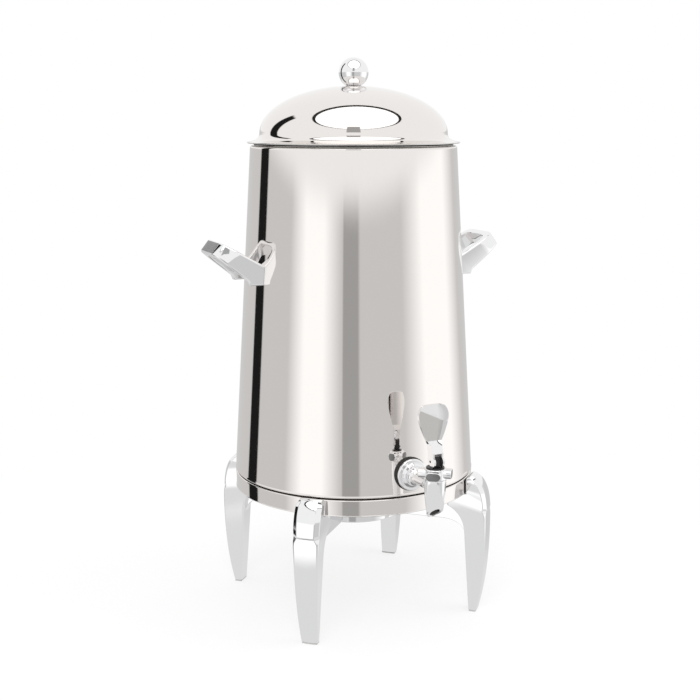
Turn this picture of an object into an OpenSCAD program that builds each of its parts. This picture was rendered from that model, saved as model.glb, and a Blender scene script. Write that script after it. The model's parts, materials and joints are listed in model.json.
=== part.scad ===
// Insulated coffee urn: a double-walled tapered body on four cast legs, with a
// lift-off domed lid, two loop handles and a self-closing lever faucet.
// Origin: centre of the four feet, on the table. +Z is up, the faucet faces -Y.

/* [Body] */
// Radius of the tapered shell at its bottom seam
base_r = 150; // [140:1:165]
// Radius of the shell at its top corner
rim_r = 126; // [118:1:132]
// Height of the tapered shell
shell_h = 402; // [360:2:440]
// Sheet thickness of the shell
shell_t = 1.2; // [0.8:0.1:2]
// Radius of the rolled bead at the shell's lower edge
bead_r = 1.4; // [1:0.1:2]
// Radius of the shell's rounded top corner
corner_r = 3; // [2:0.5:5]
// Insulating gap between the shell and the liner
gap_w = 12; // [9:0.5:16]
// Sheet thickness of the liner
liner_t = 1; // [0.8:0.1:1.6]
// Height of the liner's underside above the shell's bottom plate
floor_gap = 6; // [5:0.5:14]
// Width of the liner's rolled rim over the shell
liner_rim_w = 8.5; // [6:0.5:9]

/* [Base] */
// Height of the base band's lower edge above the table
stand_h = 155; // [145:1:165]
// Height of the base band
band_h = 20; // [16:1:26]
// Sheet thickness of the base band
band_t = 1.5; // [1:0.1:2]
// Width of the band's lower flange, which carries the base plate
band_flange = 10; // [9:0.5:12]
// Width of the band's upper flange, which the base plate passes
band_top_flange = 6; // [5:0.5:7]
// Height of the seal between the band and the shell
seal_h = 1.8; // [1.2:0.1:3]
// Thickness of the base plate and of the shell's bottom
plate_t = 2; // [1.5:0.1:3]
// Distance of the four tie studs from the axis
tie_at = 108; // [90:1:115]

/* [Lid] */
// How far the brim reaches past the shell's top corner
brim_w = 3.7; // [2:0.1:6]
// Radius of the dome where it meets the brim's flare
dome_r = 114.5; // [110:0.5:117]
// Height of the dome above the brim
dome_h = 67.4; // [50:0.1:80]
// Height of the brim's flare
flare_h = 9.4; // [8:0.1:12]
// Sheet thickness of the lid
lid_t = 1; // [0.8:0.1:1.5]
// Depth of the lid's plug below the brim
plug_h = 18; // [12:1:24]
// Radial gap between the lid's plug and the mouth
plug_gap = 1.6; // [1.2:0.1:3]
// Thickness of the lid's gasket
gasket_t = 1.1; // [0.8:0.1:2]
// Radius of the knob's ball
knob_r = 18; // [14:0.5:24]
// Radius of the knob's neck
knob_neck_r = 8.2; // [6:0.1:10]
// Height of the ball's centre above the dome
knob_lift = 15.4; // [15:0.1:22]

/* [Handles] */
// Turn of the handle pair from the line square to the faucet, in degrees
handle_turn = -3; // [-8:0.5:8]
// Height of the handle roots' lower face above the seam
handle_z = 241; // [200:1:260]
// Height of a handle root where it meets the shell
root_h = 26; // [22:0.5:32]
// Half the width of a handle across its arms
handle_half_w = 36; // [34:0.5:44]
// Reach of the grip's lower edge from the shell
handle_reach = 53; // [48:0.5:65]
// Rise of the grip's lower edge above the roots' lower face
handle_rise = 39; // [30:0.5:50]
// Width of the grip's flat outer face, measured up its slope
grip_w = 17; // [14:0.5:22]
// Slope of the grip's outer face from upright, in degrees
grip_lean = 40; // [25:1:50]
// Thickness of the grip
grip_t = 8; // [6:0.5:11]
// Thickness of a handle arm
arm_t = 9.5; // [8:0.5:12]
// Radius of the shell's handle studs
stud_r = 3; // [2.5:0.1:4]

/* [Faucet] */
// Height of the outlet's axis above the liner's floor
outlet_h = 17; // [16.5:0.5:40]
// Distance of the faucet barrel's axis from the shell
barrel_out = 57.6; // [50:0.1:70]
// Radius of the barrel at its top
barrel_r = 13.4; // [12.5:0.1:16]
// Radius of the spout at its mouth
spout_r = 8.2; // [7.4:0.1:9]
// Drop from the outlet's axis to the spout's mouth
spout_drop = 38; // [28:0.5:45]
// Radius of the spout's bore
spout_bore_r = 5.6; // [4.5:0.1:6]
// Slope of the spout's mouth, in degrees
mouth_slope = 43; // [0:1:50]
// Radius of the threaded shank
shank_r = 6.9; // [6:0.1:8]
// Radius of the shank's bore
shank_bore_r = 4.5; // [3.5:0.1:5]
// Radius of the flange nut against the body
flange_nut_r = 19; // [16:0.5:21]
// Height of the bonnet's lobed grip
bonnet_h = 12.2; // [10:0.2:16]
// Reach of the bonnet's lobes from its axis
lobe_reach = 18.8; // [17:0.2:21]
// Width of each lobe
lobe_w = 17.4; // [12:0.2:18]
// Turn of the bonnet's lobes about its axis, in degrees
lobe_turn = -38; // [-45:1:45]
// Radius of the valve stem
stem_r = 3; // [2.5:0.1:3.5]
// Width of the stem's square head
head_w = 8.6; // [8:0.1:10]

/* [Lever] */
// Radius of the lever's foot, which rolls on the stem seal
cam_r = 6; // [5.6:0.1:8]
// How far the foot's centre lies in front of the pin
cam_offset = 3.5; // [2.5:0.1:4]
// Radius of the lever's pin
lever_pin_r = 1.5; // [1.2:0.1:2]
// Thickness of each cheek of the lever's fork
cheek_t = 2.2; // [2:0.1:3]
// Height of the fork's opening above the pin
fork_h = 10; // [9:0.5:14]
// Height of the paddle's top above the pin
lever_h = 64; // [50:0.5:80]
// Width of the paddle
paddle_w = 40; // [30:0.5:46]
// Thickness of the paddle
paddle_t = 4; // [3:0.1:6]
// Lean of the paddle towards the body, in degrees
paddle_lean = 9; // [0:0.5:12]

/* [Legs] */
// Distance of the leg's outer knee from the shell's seam
knee_out = 27; // [24:0.5:34]
// Distance of the foot's outer edge from the shell's seam
foot_out = 15.5; // [12:0.5:22]
// Depth of the foot, towards the axis
foot_d = 10; // [9.5:0.5:14]
// Width of the leg at the foot
foot_w = 20.4; // [18:0.2:26]
// Width of the leg at its head
leg_w = 33; // [28:0.5:40]
// Height of the leg's head above the band's lower edge
head_rise = 22; // [20:0.5:30]
// Depth of the shelf that carries the band
shelf_w = 23; // [19:0.5:28]
// Thickness of the arm under the body
web_t = 10; // [9:0.5:14]
// Depth of the arm below the band
web_h = 37; // [34:0.5:45]
// Outer radius of the hub that the arms meet
hub_r = 62; // [50:1:75]
// Wall of the hub
hub_t = 10; // [8:0.5:12]
// Thickness of the glide under each foot
glide_t = 1.5; // [1:0.1:3]

/* [Fits] */
// Gap between a moving piece and its neighbours
move_gap = 0.3; // [0.3:0.05:0.6]
// Gap between curved faces that are fixed together
seat_gap = 0.1; // [0.05:0.05:0.2]
// Radial clearance of a pin or a stem that moves in its hole
run_gap = 0.05; // [0.03:0.01:0.08]

/* [Hidden] */
$fn = 96;

big = 400;
steel = "silver";
chrome = "gainsboro";
rubber = "dimgray";
pale_rubber = "lightgray";

// Heights
band_top_z = stand_h + band_h;
seam_z = band_top_z + seal_h;
top_z = seam_z + shell_h;
bottom_top_z = seam_z + plate_t;
floor_z = bottom_top_z + floor_gap + liner_t;
outlet_z = floor_z + outlet_h;
plate_z = stand_h + band_t;
plate_top_z = plate_z + plate_t;
hub_z = stand_h - web_h;

// Radii
cone_slope = (rim_r - base_r) / (shell_h - corner_r);
outlet_shell_r = shell_r(outlet_z);
mouth_r = liner_r(top_z) - liner_t;
plug_r = mouth_r - plug_gap;
shell_flange_r = liner_r(top_z) + seat_gap;
plate_r = base_r - band_top_flange - 2 * seat_gap;
bead_out = 0.3;
lip_r = 0.8;

// Lid heights
gasket_z = top_z + liner_t + move_gap;
brim_z = gasket_z + gasket_t + lid_t;
brim_r = rim_r + brim_w;
dome_foot_z = brim_z + flare_h;
apex_z = brim_z + dome_h;
knob_z = apex_z + knob_lift;
plug_z = brim_z - plug_h;
lip_w = 3;
pan_flange_r = brim_r - 1;
liner_rim_r = shell_flange_r + liner_rim_w;
knob_screw_r = 3;
knob_head_r = 5.5;
knob_head_h = 4;
washer_r = 7.5;
washer_t = 1.2;
// The washer seats where the dome has fallen away least: flat on its crown
washer_z = apex_z - lid_t - dome_fall(washer_r) - washer_t;

// Faucet places
barrel_y = -(outlet_shell_r + barrel_out);
chamber_r = barrel_r - 3.8;
seat_z = outlet_z - 8;
barrel_top_z = outlet_z + 10;
spout_z = outlet_z - spout_drop;
bonnet_top_z = barrel_top_z + bonnet_h;
bonnet_bore_r = chamber_r - 1.5;
bonnet_skirt_h = 6;
stem_seal_t = 1.6;
seal_top_z = bonnet_top_z + stem_seal_t;
collar_r = 6.2;
collar_t = 1.6;
cup_z = seat_z + move_gap;
cup_t = 2.4;
collar_z = cup_z + cup_t;
pin_z = seal_top_z + move_gap + cam_r;
head_h = fork_h + cam_r - 4;
spring_wire_r = 0.6;
spring_r = (stem_r + bonnet_bore_r) / 2;
spring_turns = 7;
gasket_front = outlet_shell_r + 3;
nut_front = gasket_front + 8;
liner_in_r = liner_r(outlet_z) - liner_t;
inner_nut_t = 6;
inner_nut_r = 12;
inner_nut_front = liner_in_r - 2.2;
tube_r = shank_r + 2.3;

// Handle places
root_z = seam_z + handle_z;
grip_low = [shell_r(root_z) + handle_reach, root_z + handle_rise];
grip_high = grip_low + grip_w * [-sin(grip_lean), cos(grip_lean)];
stud_z = root_z + 12;
stud_t_at = handle_half_w - arm_t / 2;
stud_len = 11;

// Leg places
leg_angles = [-135, -45, 45, 135];
knee_r = base_r + knee_out;
knee_z = stand_h - 27;
foot_r = base_r + foot_out;
leg_seat_r = base_r + bead_out + 0.1;
arm_top_r = base_r - band_flange - 0.6;
head_top_z = stand_h + head_rise;
shelf_z = stand_h - 17;
shelf_r = base_r - shelf_w;
head_screw_z = stand_h + band_h / 2;
hub_screw_zs = [hub_z + web_h / 2 - 9, hub_z + web_h / 2 + 9];
glide_at = foot_r - foot_d / 2;

// Fasteners
peg_r = 2;
tie_r = 3;
tie_below = 12;
tie_nut_r = 5.8;
tie_nut_h = 6;
tie_spacer_r = 6;
hub_screw_r = 3;
hub_screw_reach = 19;
hub_head_r = 5;
hub_head_h = 5;
hex_r = 2.8;
hex_h = 2.4;
plate_screw_r = 2.5;
plate_screw_reach = 14;
head_screw_r = 2.5;
head_screw_reach = 11;
pan_head_r = 4.5;
pan_head_h = 3;

// Outer radius of the shell's cone at a height
function shell_r(z) = base_r + cone_slope * (z - seam_z);
// Outer radius of the liner's cone at a height
function liner_r(z) = shell_r(z) - shell_t - gap_w;
// Points of a curve from a to c that is pulled towards b
function curve(a, b, c, n = 8) =
    [for (i = [0:n]) let (t = i / n) (1 - t) * (1 - t) * a + 2 * t * (1 - t) * b + t * t * c];
// Points of an arc about [x, y]
function arc(x, y, r, from, to, n = 6) =
    [for (i = [0:n]) let (a = from + (to - from) * i / n) [x + r * cos(a), y + r * sin(a)]];
// How far the dome's inside has fallen at a radius from its crown
function dome_fall(r) =
    (apex_z - dome_foot_z - lid_t) * (1 - sqrt(1 - pow(r / (dome_r - lid_t), 2))) + seat_gap;
// Points of the dome, thinned by a sheet thickness
function dome(t, n = 20) =
    [for (i = [0:n]) let (a = 90 * i / n)
        [(dome_r - t) * cos(a), dome_foot_z + (apex_z - dome_foot_z - t) * sin(a)]];

// Solid bounded by a cone that runs parallel to the shell
module cone_solid(outset, z0 = 0, z1 = top_z + 50) {
    rotate_extrude($fn = 360)
        polygon([[0, z0], [shell_r(z0) + outset, z0], [shell_r(z1) + outset, z1], [0, z1]]);
}

// Straight rod along -Y from y0 to y1 at a height
module rod_y(r, y0, y1, z, sides = $fn) {
    translate([0, -y0, z]) rotate([90, 0, 0]) cylinder(r = r, h = y1 - y0, $fn = sides);
}

// Straight rod along X from x0 to x1 at a side offset and a height
module rod_x(r, x0, x1, y, z, sides = 32) {
    translate([x0, y, z]) rotate([0, 90, 0]) rotate([0, 0, 10]) cylinder(r = r, h = x1 - x0, $fn = sides);
}

// Extrudes an outline drawn in [x, z] along Y, centred
module wall_xz(h) {
    rotate([90, 0, 0]) linear_extrude(height = h, center = true) children();
}

// Ring between two radii
module ring(r_in, r_out, z0, z1) {
    difference() {
        translate([0, 0, z0]) cylinder(r = r_out, h = z1 - z0);
        translate([0, 0, z0 - 1]) cylinder(r = r_in, h = z1 - z0 + 2);
    }
}

// Four copies, turned a quarter each from a first angle
module quarters(first) {
    for (i = [0:3]) rotate([0, 0, first + 90 * i]) children();
}

// ---- body ----

module outer_shell() {
    color(steel) difference() {
        union() {
            rotate_extrude() polygon(concat(
                [[base_r, seam_z + bead_r]],
                arc(rim_r - corner_r, top_z - corner_r, corner_r, 0, 90),
                [[shell_flange_r, top_z], [shell_flange_r, top_z - shell_t]],
                arc(rim_r - corner_r, top_z - corner_r, corner_r - shell_t, 90, 0),
                [[base_r - shell_t, seam_z + bead_r]]));
            rotate_extrude() translate([base_r - bead_r + bead_out, seam_z + bead_r])
                circle(bead_r, $fn = 32);
        }
        rod_y(tube_r + seat_gap, 0, big, outlet_z);
    }
}

module shell_bottom() {
    color(steel) translate([0, 0, seam_z])
        cylinder(r = base_r + bead_out - 2 * bead_r - seat_gap, h = plate_t);
}

module inner_liner() {
    floor_r = 4;
    low_z = floor_z - liner_t;
    wall_r = liner_r(low_z + floor_r);
    color(steel) difference() {
        rotate_extrude() polygon(concat(
            [[0, low_z]],
            arc(wall_r - floor_r, low_z + floor_r, floor_r, -90, 0),
            [[liner_r(top_z), top_z], [liner_rim_r, top_z],
             [liner_rim_r, top_z + liner_t], [mouth_r, top_z + liner_t]],
            arc(wall_r - floor_r, low_z + floor_r, floor_r - liner_t, 0, -90),
            [[0, floor_z]]));
        rod_y(tube_r + seat_gap, 0, big, outlet_z);
    }
}

module vacuum_cap() {
    cap_r = 14;
    cap_h = 5;
    color(steel) translate([0, 0, seam_z - cap_h]) difference() {
        cylinder(r = cap_r, h = cap_h);
        translate([0, 0, 1]) cylinder(r = cap_r - 1, h = cap_h);
    }
}

// ---- base ----

module base_seal() {
    color(rubber) ring(base_r - band_top_flange, base_r - 3, band_top_z, seam_z);
}

module base_band() {
    color(steel) difference() {
        union() {
            rotate_extrude() polygon(concat(
                [[base_r - band_flange, stand_h], [base_r, stand_h]],
                arc(base_r - 1.5, band_top_z - 1.5, 1.5, 0, 90),
                [[base_r - band_top_flange, band_top_z], [base_r - band_top_flange, band_top_z - band_t],
                 [base_r - band_t, band_top_z - band_t], [base_r - band_t, plate_z],
                 [base_r - band_flange, plate_z]]));
            rotate_extrude() translate([base_r + bead_out - lip_r, stand_h + lip_r])
                circle(lip_r, $fn = 24);
        }
        quarters(45) rod_x(head_screw_r + seat_gap, base_r - 20, base_r + 20, 0, head_screw_z);
    }
}

module base_plate() {
    color(steel) difference() {
        translate([0, 0, plate_z]) cylinder(r = plate_r, h = plate_t);
        quarters(0) translate([tie_at, 0, 0]) cylinder(r = tie_r + 2 * seat_gap, h = big);
        quarters(0) translate([hub_r - hub_t / 2, 0, 0])
            cylinder(r = plate_screw_r + 2 * seat_gap, h = big);
    }
}

module tie_studs() {
    color(steel) quarters(0) translate([tie_at, 0, plate_z - tie_below])
        cylinder(r = tie_r, h = seam_z - plate_z + tie_below, $fn = 32);
}

module tie_spacers() {
    color(steel) quarters(0) translate([tie_at, 0, 0])
        ring(tie_r + 2 * seat_gap, tie_spacer_r, plate_top_z, seam_z);
}

module tie_nuts() {
    color(chrome) quarters(0) translate([tie_at, 0, plate_z - tie_nut_h]) difference() {
        cylinder(r = tie_nut_r, h = tie_nut_h, $fn = 6);
        translate([0, 0, -1]) cylinder(r = tie_r + seat_gap, h = tie_nut_h + 2, $fn = 32);
    }
}

// ---- lid ----

module lid_dome() {
    flare_out = curve([brim_r, brim_z + 0.6], [dome_r + 1, brim_z + 2.2], [dome_r, dome_foot_z]);
    flare_in = curve([dome_r - lid_t, dome_foot_z], [dome_r, brim_z + 1.2], [brim_r - lip_w, brim_z]);
    color(steel) difference() {
        rotate_extrude() polygon(concat(
            [[brim_r, brim_z]], flare_out, dome(0), [for (i = [20:-1:0]) dome(lid_t)[i]], flare_in));
        translate([0, 0, apex_z - 10]) cylinder(r = knob_screw_r + seat_gap, h = 20);
    }
}

module lid_pan() {
    edge_r = 4;
    color(steel) rotate_extrude() polygon(concat(
        [[0, plug_z]],
        arc(plug_r - edge_r, plug_z + edge_r, edge_r, -90, 0),
        [[plug_r, brim_z - lid_t], [pan_flange_r, brim_z - lid_t], [pan_flange_r, brim_z],
         [plug_r - lid_t, brim_z]],
        arc(plug_r - edge_r, plug_z + edge_r, edge_r - lid_t, 0, -90),
        [[0, plug_z + lid_t]]));
}

module lid_insulation() {
    edge_r = 3;
    side_r = plug_r - lid_t - seat_gap;
    dome_space = 7;
    color("khaki") difference() {
        rotate_extrude() polygon(concat(
            [[0, plug_z + lid_t]],
            arc(side_r - edge_r, plug_z + lid_t + edge_r, edge_r, -90, 0),
            [[side_r, brim_z]],
            dome(dome_space)));
        translate([0, 0, washer_z - 6]) cylinder(r = washer_r + 2, h = 20);
    }
}

module lid_gasket() {
    color(rubber) ring(plug_r + seat_gap, liner_rim_r + 1, gasket_z, brim_z - lid_t);
}

module lid_knob() {
    color(chrome) difference() {
        union() {
            translate([0, 0, knob_z]) sphere(r = knob_r);
            translate([0, 0, apex_z]) cylinder(r = knob_neck_r, h = knob_lift);
        }
        translate([0, 0, apex_z - 1]) cylinder(r = knob_screw_r + seat_gap, h = knob_lift);
        translate([0, 0, apex_z - 60]) cylinder(r = big, h = 60);
    }
}

module knob_screw() {
    color(steel) {
        translate([0, 0, washer_z]) cylinder(r = knob_screw_r, h = apex_z - washer_z + knob_lift - 4);
        translate([0, 0, washer_z - knob_head_h]) cylinder(r = knob_head_r, h = knob_head_h);
    }
}

module knob_washer() {
    color(steel) ring(knob_screw_r + seat_gap, washer_r, washer_z, washer_z + washer_t);
}

// ---- handles ----

// Loop handle that points along +X
module handle() {
    wall_r = shell_r(root_z);
    root_top = [shell_r(root_z + root_h) - 8, root_z + root_h - 4];
    side = concat(
        [[wall_r - 8, root_z], [wall_r + 11, root_z], [wall_r + 12, root_z + 5], grip_low, grip_high],
        curve([grip_high[0] - 20, grip_high[1] - 11], [wall_r + 12, root_z + root_h + 1], root_top));
    w = handle_half_w;
    tip = grip_low[0] + 4;
    plan = [[0, -w], [tip - 24, -w], [tip, -w + 8.5], [tip, w - 8.5], [tip - 24, w], [0, w]];
    difference() {
        intersection() {
            wall_xz(2 * w + 2) polygon(side);
            linear_extrude(height = top_z) polygon(plan);
        }
        cone_solid(seat_gap);
        handle_window();
        for (s = [-1, 1])
            rod_x(stud_r + seat_gap, base_r / 2, shell_r(stud_z) + stud_len + 1, s * stud_t_at, stud_z);
        for (s = [-1, 1]) translate([shell_r(stud_z) + 5, s * stud_t_at, root_z - 1])
            cylinder(r = 2.1, h = stud_z - root_z, $fn = 32);
    }
}

// Finger opening of a handle, cut square to the grip's slope
module handle_window() {
    half = handle_half_w - arm_t;
    outline = concat(
        [[-90, -half], [-34, -half]],
        curve([-34, -half], [-grip_t, -half + 1], [-grip_t, -half + 14], 5),
        curve([-grip_t, half - 14], [-grip_t, half - 1], [-34, half], 5),
        [[-90, half]]);
    translate([grip_high[0], 0, grip_high[1]]) rotate([0, -grip_lean, 0])
        translate([0, 0, -60]) linear_extrude(height = 100) polygon(outline);
}

// A pair of pieces, one for each handle
module both_handles() {
    for (a = [0, 180]) rotate([0, 0, a + handle_turn]) children();
}

module handle_right() {
    color(chrome) rotate([0, 0, handle_turn]) handle();
}

module handle_left() {
    color(chrome) rotate([0, 0, 180 + handle_turn]) handle();
}

module handle_studs() {
    color(steel) both_handles() difference() {
        for (s = [-1, 1])
            rod_x(stud_r, base_r / 2, shell_r(stud_z) + stud_len, s * stud_t_at, stud_z);
        cone_solid(0);
    }
}

module handle_set_screws() {
    color(steel) both_handles() for (s = [-1, 1])
        translate([shell_r(stud_z) + 5, s * stud_t_at, root_z + 1])
            cylinder(r = 2, h = stud_z - stud_r - root_z - 1.3, $fn = 32);
}

// ---- outlet ----

module outlet_tube() {
    color(steel) difference() {
        intersection() {
            rod_y(tube_r, base_r / 2, big, outlet_z);
            cone_solid(0);
        }
        rod_y(shank_r + seat_gap, 50, big, outlet_z);
        cone_solid(-shell_t - gap_w - liner_t);
    }
}

module outlet_gasket() {
    color(rubber) difference() {
        rod_y(flange_nut_r + 1.5, outlet_shell_r - 4, gasket_front, outlet_z);
        cone_solid(2 * seat_gap);
        rod_y(shank_r + seat_gap, 50, big, outlet_z);
    }
}

// Piece turned about the outlet's axis, drawn as [radius, distance from the urn's axis]
module turned_y(outline) {
    translate([0, 0, outlet_z]) rotate([90, 0, 0]) rotate_extrude() polygon(outline);
}

module flange_nut() {
    r = flange_nut_r;
    hole = shank_r + seat_gap;
    color(chrome) turned_y(concat(
        [[hole, gasket_front], [r, gasket_front]],
        arc(r - 2, gasket_front + 2.2, 2, 0, 90),
        [[r - 4, gasket_front + 4.2], [r - 5.2, gasket_front + 6], [r - 7, nut_front], [hole, nut_front]]));
}

module inner_washer() {
    color(rubber) difference() {
        intersection() {
            rod_y(inner_nut_r, inner_nut_front, liner_in_r + 5, outlet_z);
            cone_solid(-shell_t - gap_w - liner_t - 2 * seat_gap);
        }
        rod_y(shank_r + seat_gap, 50, big, outlet_z);
    }
}

module inner_nut() {
    color(steel) difference() {
        rod_y(inner_nut_r, inner_nut_front - inner_nut_t, inner_nut_front, outlet_z, 6);
        rod_y(shank_r + seat_gap, 50, big, outlet_z);
    }
}

// ---- faucet ----

// Moves a piece drawn about the Z axis to the faucet's barrel
module at_barrel() {
    translate([0, barrel_y, 0]) children();
}

module faucet_body() {
    shank_end = inner_nut_front - inner_nut_t - 3;
    barrel_at = -barrel_y;
    color(chrome) difference() {
        union() {
            at_barrel() rotate_extrude() polygon([
                [0, spout_z], [spout_r, spout_z], [spout_r + 0.6, spout_z + 6],
                [barrel_r, barrel_top_z - 2], [barrel_r - 0.6, barrel_top_z], [0, barrel_top_z]]);
            rod_y(shank_r, shank_end, barrel_at, outlet_z);
            turned_y(concat(
                [[0, nut_front], [10.5, nut_front], [11, nut_front + 0.8], [11, nut_front + 3.4]],
                curve([11, nut_front + 3.4], [8, nut_front + 4.5], [7.6, nut_front + 11]),
                curve([7.6, barrel_at - barrel_r - 4], [7.8, barrel_at - barrel_r], [10, barrel_at - 6], 4),
                [[0, barrel_at - 6]]));
        }
        rod_y(shank_bore_r, shank_end - 1, barrel_at, outlet_z);
        at_barrel() {
            cylinder(r = spout_bore_r, h = big);
            translate([0, 0, seat_z]) cylinder(r = chamber_r, h = big);
            translate([0, spout_r, spout_z]) rotate([-mouth_slope, 0, 0])
                translate([-20, -40, -30]) cube([40, 60, 30]);
        }
    }
}

module bonnet() {
    lobe_h = bonnet_h - 2.2;
    color(chrome) at_barrel() difference() {
        union() {
            translate([0, 0, barrel_top_z]) cylinder(r = barrel_r - 0.2, h = bonnet_h);
            ring(bonnet_bore_r, chamber_r - seat_gap, barrel_top_z - bonnet_skirt_h, barrel_top_z + 1);
            quarters(lobe_turn) translate([0, 0, bonnet_top_z - 1 - lobe_h / 2])
                rotate([90, 0, 90]) linear_extrude(height = lobe_reach) stadium(lobe_w, lobe_h);
        }
        translate([0, 0, barrel_top_z - 10]) cylinder(r = bonnet_bore_r, h = bonnet_h + 10 - 3);
        translate([0, 0, barrel_top_z]) cylinder(r = stem_r + run_gap, h = 50);
    }
}

module stem_seal() {
    color("black") at_barrel() ring(stem_r + run_gap, 10.4, bonnet_top_z, seal_top_z);
}

module valve_stem() {
    head_z = seal_top_z + move_gap;
    color("black") at_barrel() difference() {
        union() {
            translate([0, 0, collar_z]) cylinder(r = stem_r, h = head_z + 1 - collar_z);
            translate([0, 0, collar_z]) cylinder(r = collar_r, h = collar_t);
            translate([-head_w / 2, -head_w / 2, head_z]) cube([head_w, head_w, head_h]);
        }
        rod_x(lever_pin_r + seat_gap, -10, 10, 0, pin_z);
    }
}

// Oval with straight sides, centred
module stadium(w, h) {
    square([w - h, h], center = true);
    for (s = [-1, 1]) translate([s * (w - h) / 2, 0]) circle(h / 2, $fn = 48);
}

module seat_cup() {
    color(rubber) at_barrel() translate([0, 0, cup_z]) cylinder(r = chamber_r - 1.4, h = cup_t);
}

// Coil spring: rings of eight points that follow the helix
module faucet_spring() {
    low = collar_z + collar_t + spring_wire_r + 0.2;
    high = bonnet_top_z - 3 - spring_wire_r - 0.2;
    per_turn = 14;
    steps = spring_turns * per_turn;
    sides = 8;
    points = [for (i = [0:steps], k = [0:sides - 1])
        let (turn = 360 * i / per_turn, a = 360 * k / sides, r = spring_r + spring_wire_r * cos(a))
            [r * cos(turn), r * sin(turn), low + (high - low) * i / steps + spring_wire_r * sin(a)]];
    faces = concat(
        [[for (k = [0:sides - 1]) k]],
        [for (i = [0:steps - 1], k = [0:sides - 1])
            let (here = i * sides, next = here + sides, l = (k + 1) % sides)
            [here + k, next + k, next + l, here + l]],
        [[for (k = [sides - 1:-1:0]) steps * sides + k]]);
    color(steel) at_barrel() polyhedron(points, faces);
}

// ---- lever ----

// Outline of the lever from the front: fork, neck and paddle
function lever_front() =
    let (n = head_w / 2 + 0.3 + cheek_t, top = pin_z + lever_h, w = paddle_w / 2,
         neck = pin_z + fork_h + 10,
         right = concat(
            [[n, pin_z - cam_r - 1], [n, neck]],
            curve([n, neck], [n + 1, neck + 6], [w - 2.5, top - 17], 6),
            curve([w - 2.5, top - 17], [w + 2, top - 9], [w - 5, top - 2.2], 5),
            curve([w - 5, top - 2.2], [w - 8, top], [0, top], 4)))
    concat(right, [for (i = [len(right) - 1:-1:0]) [-right[i][0], right[i][1]]]);

// Outline of the lever from the side, as [towards the body, height] from its pin
function lever_side() =
    let (top = lever_h + 1, mid = fork_h + 17, lean = tan(paddle_lean), t = paddle_t / 2)
    [[-6, 3], [-6, fork_h + 6], [mid * lean - t, mid], [top * lean - t, top],
     [top * lean + t, top], [mid * lean + t, mid], [6, fork_h + 6], [6, 0], [4, -3.5], [0, -4.5]];

module lever() {
    color(chrome) at_barrel() difference() {
        intersection() {
            rotate([90, 0, 0]) linear_extrude(height = 80, center = true) polygon(lever_front());
            translate([-50, 0, pin_z]) {
                rotate([90, 0, 90]) linear_extrude(height = 100) polygon(lever_side());
                translate([0, -cam_offset, 0]) rotate([0, 90, 0]) cylinder(r = cam_r, h = 100);
            }
        }
        translate([-head_w / 2 - 0.3, -30, pin_z - 30]) cube([head_w + 0.6, 60, 30 + fork_h]);
        rod_x(lever_pin_r + run_gap, -20, 20, 0, pin_z);
    }
}

module lever_pin() {
    len = head_w + 0.6 + 2 * cheek_t;
    color(steel) at_barrel() rod_x(lever_pin_r, -len / 2, len / 2, 0, pin_z);
}

// ---- stand ----

// Side outline of a leg, as [distance from the axis, height]
function leg_side() = concat(
    curve([foot_r, glide_t], [knee_r + 1.5, 50], [knee_r, knee_z], 10),
    curve([knee_r, knee_z], [knee_r, head_top_z - 9.5], [base_r + 9, head_top_z]),
    curve([base_r + 9, head_top_z], [base_r + 2.5, head_top_z], [leg_seat_r, head_top_z - 5], 5),
    [[leg_seat_r, stand_h - seat_gap], [base_r - band_flange, stand_h - seat_gap],
     [shelf_r, stand_h - seat_gap]],
    curve([shelf_r, shelf_z], [base_r - 2, shelf_z - 10], [base_r - 0.8, stand_h - 52], 7),
    curve([base_r - 0.8, stand_h - 52], [base_r + 1.5, 60], [foot_r - foot_d, glide_t], 6));

// Front outline of a leg, as [across, height]
function leg_front() =
    let (right = concat(
            curve([foot_w / 2, 0], [leg_w / 2 - 2, 60], [leg_w / 2, stand_h - 5]),
            [[leg_w / 2, head_top_z - 6], [leg_w / 2 - 3, head_top_z + 1]]))
    concat(right, [for (i = [len(right) - 1:-1:0]) [-right[i][0], right[i][1]]]);

// Side outline of the arm that runs in from a leg to the hub
function arm_side() = concat(
    [[hub_r - 2, hub_z]],
    curve([base_r - 28.5, hub_z], [base_r - 4, hub_z - 1.5], [base_r - 0.5, hub_z - 20]),
    [[base_r + 2, hub_z - 10], [base_r + 2, stand_h - seat_gap - 6],
     [arm_top_r, stand_h - seat_gap], [arm_top_r, plate_z], [hub_r - 2, plate_z]]);

// Leg with its arm, pointing along +X
module leg() {
    difference() {
        union() {
            intersection() {
                wall_xz(2 * leg_w) polygon(leg_side());
                rotate([90, 0, 90]) linear_extrude(height = big) polygon(leg_front());
            }
            wall_xz(web_t) polygon(arm_side());
        }
        cylinder(r = hub_r + seat_gap, h = big);
        ring(base_r - 20, leg_seat_r, stand_h - seat_gap, big);
        for (z = hub_screw_zs)
            rod_x(hub_screw_r + seat_gap, hub_r - 5, hub_r + hub_screw_reach + 1, 0, z);
        rod_x(head_screw_r + seat_gap, base_r - 5, base_r + head_screw_reach + 2, 0, head_screw_z);
        translate([glide_at, 0, 0]) cylinder(r = peg_r + seat_gap, h = 9, $fn = 32);
    }
}

module placed_leg(i) {
    color(chrome) rotate([0, 0, leg_angles[i]]) leg();
}

module stand_hub() {
    color(chrome) difference() {
        ring(hub_r - hub_t, hub_r, hub_z, plate_z);
        quarters(45) for (z = hub_screw_zs)
            rod_x(hub_screw_r + seat_gap, hub_r - hub_t - 5, hub_r + 5, 0, z);
        quarters(0) translate([hub_r - hub_t / 2, 0, plate_z - plate_screw_reach - 2])
            cylinder(r = plate_screw_r + seat_gap, h = plate_screw_reach + 10, $fn = 32);
    }
}

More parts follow.
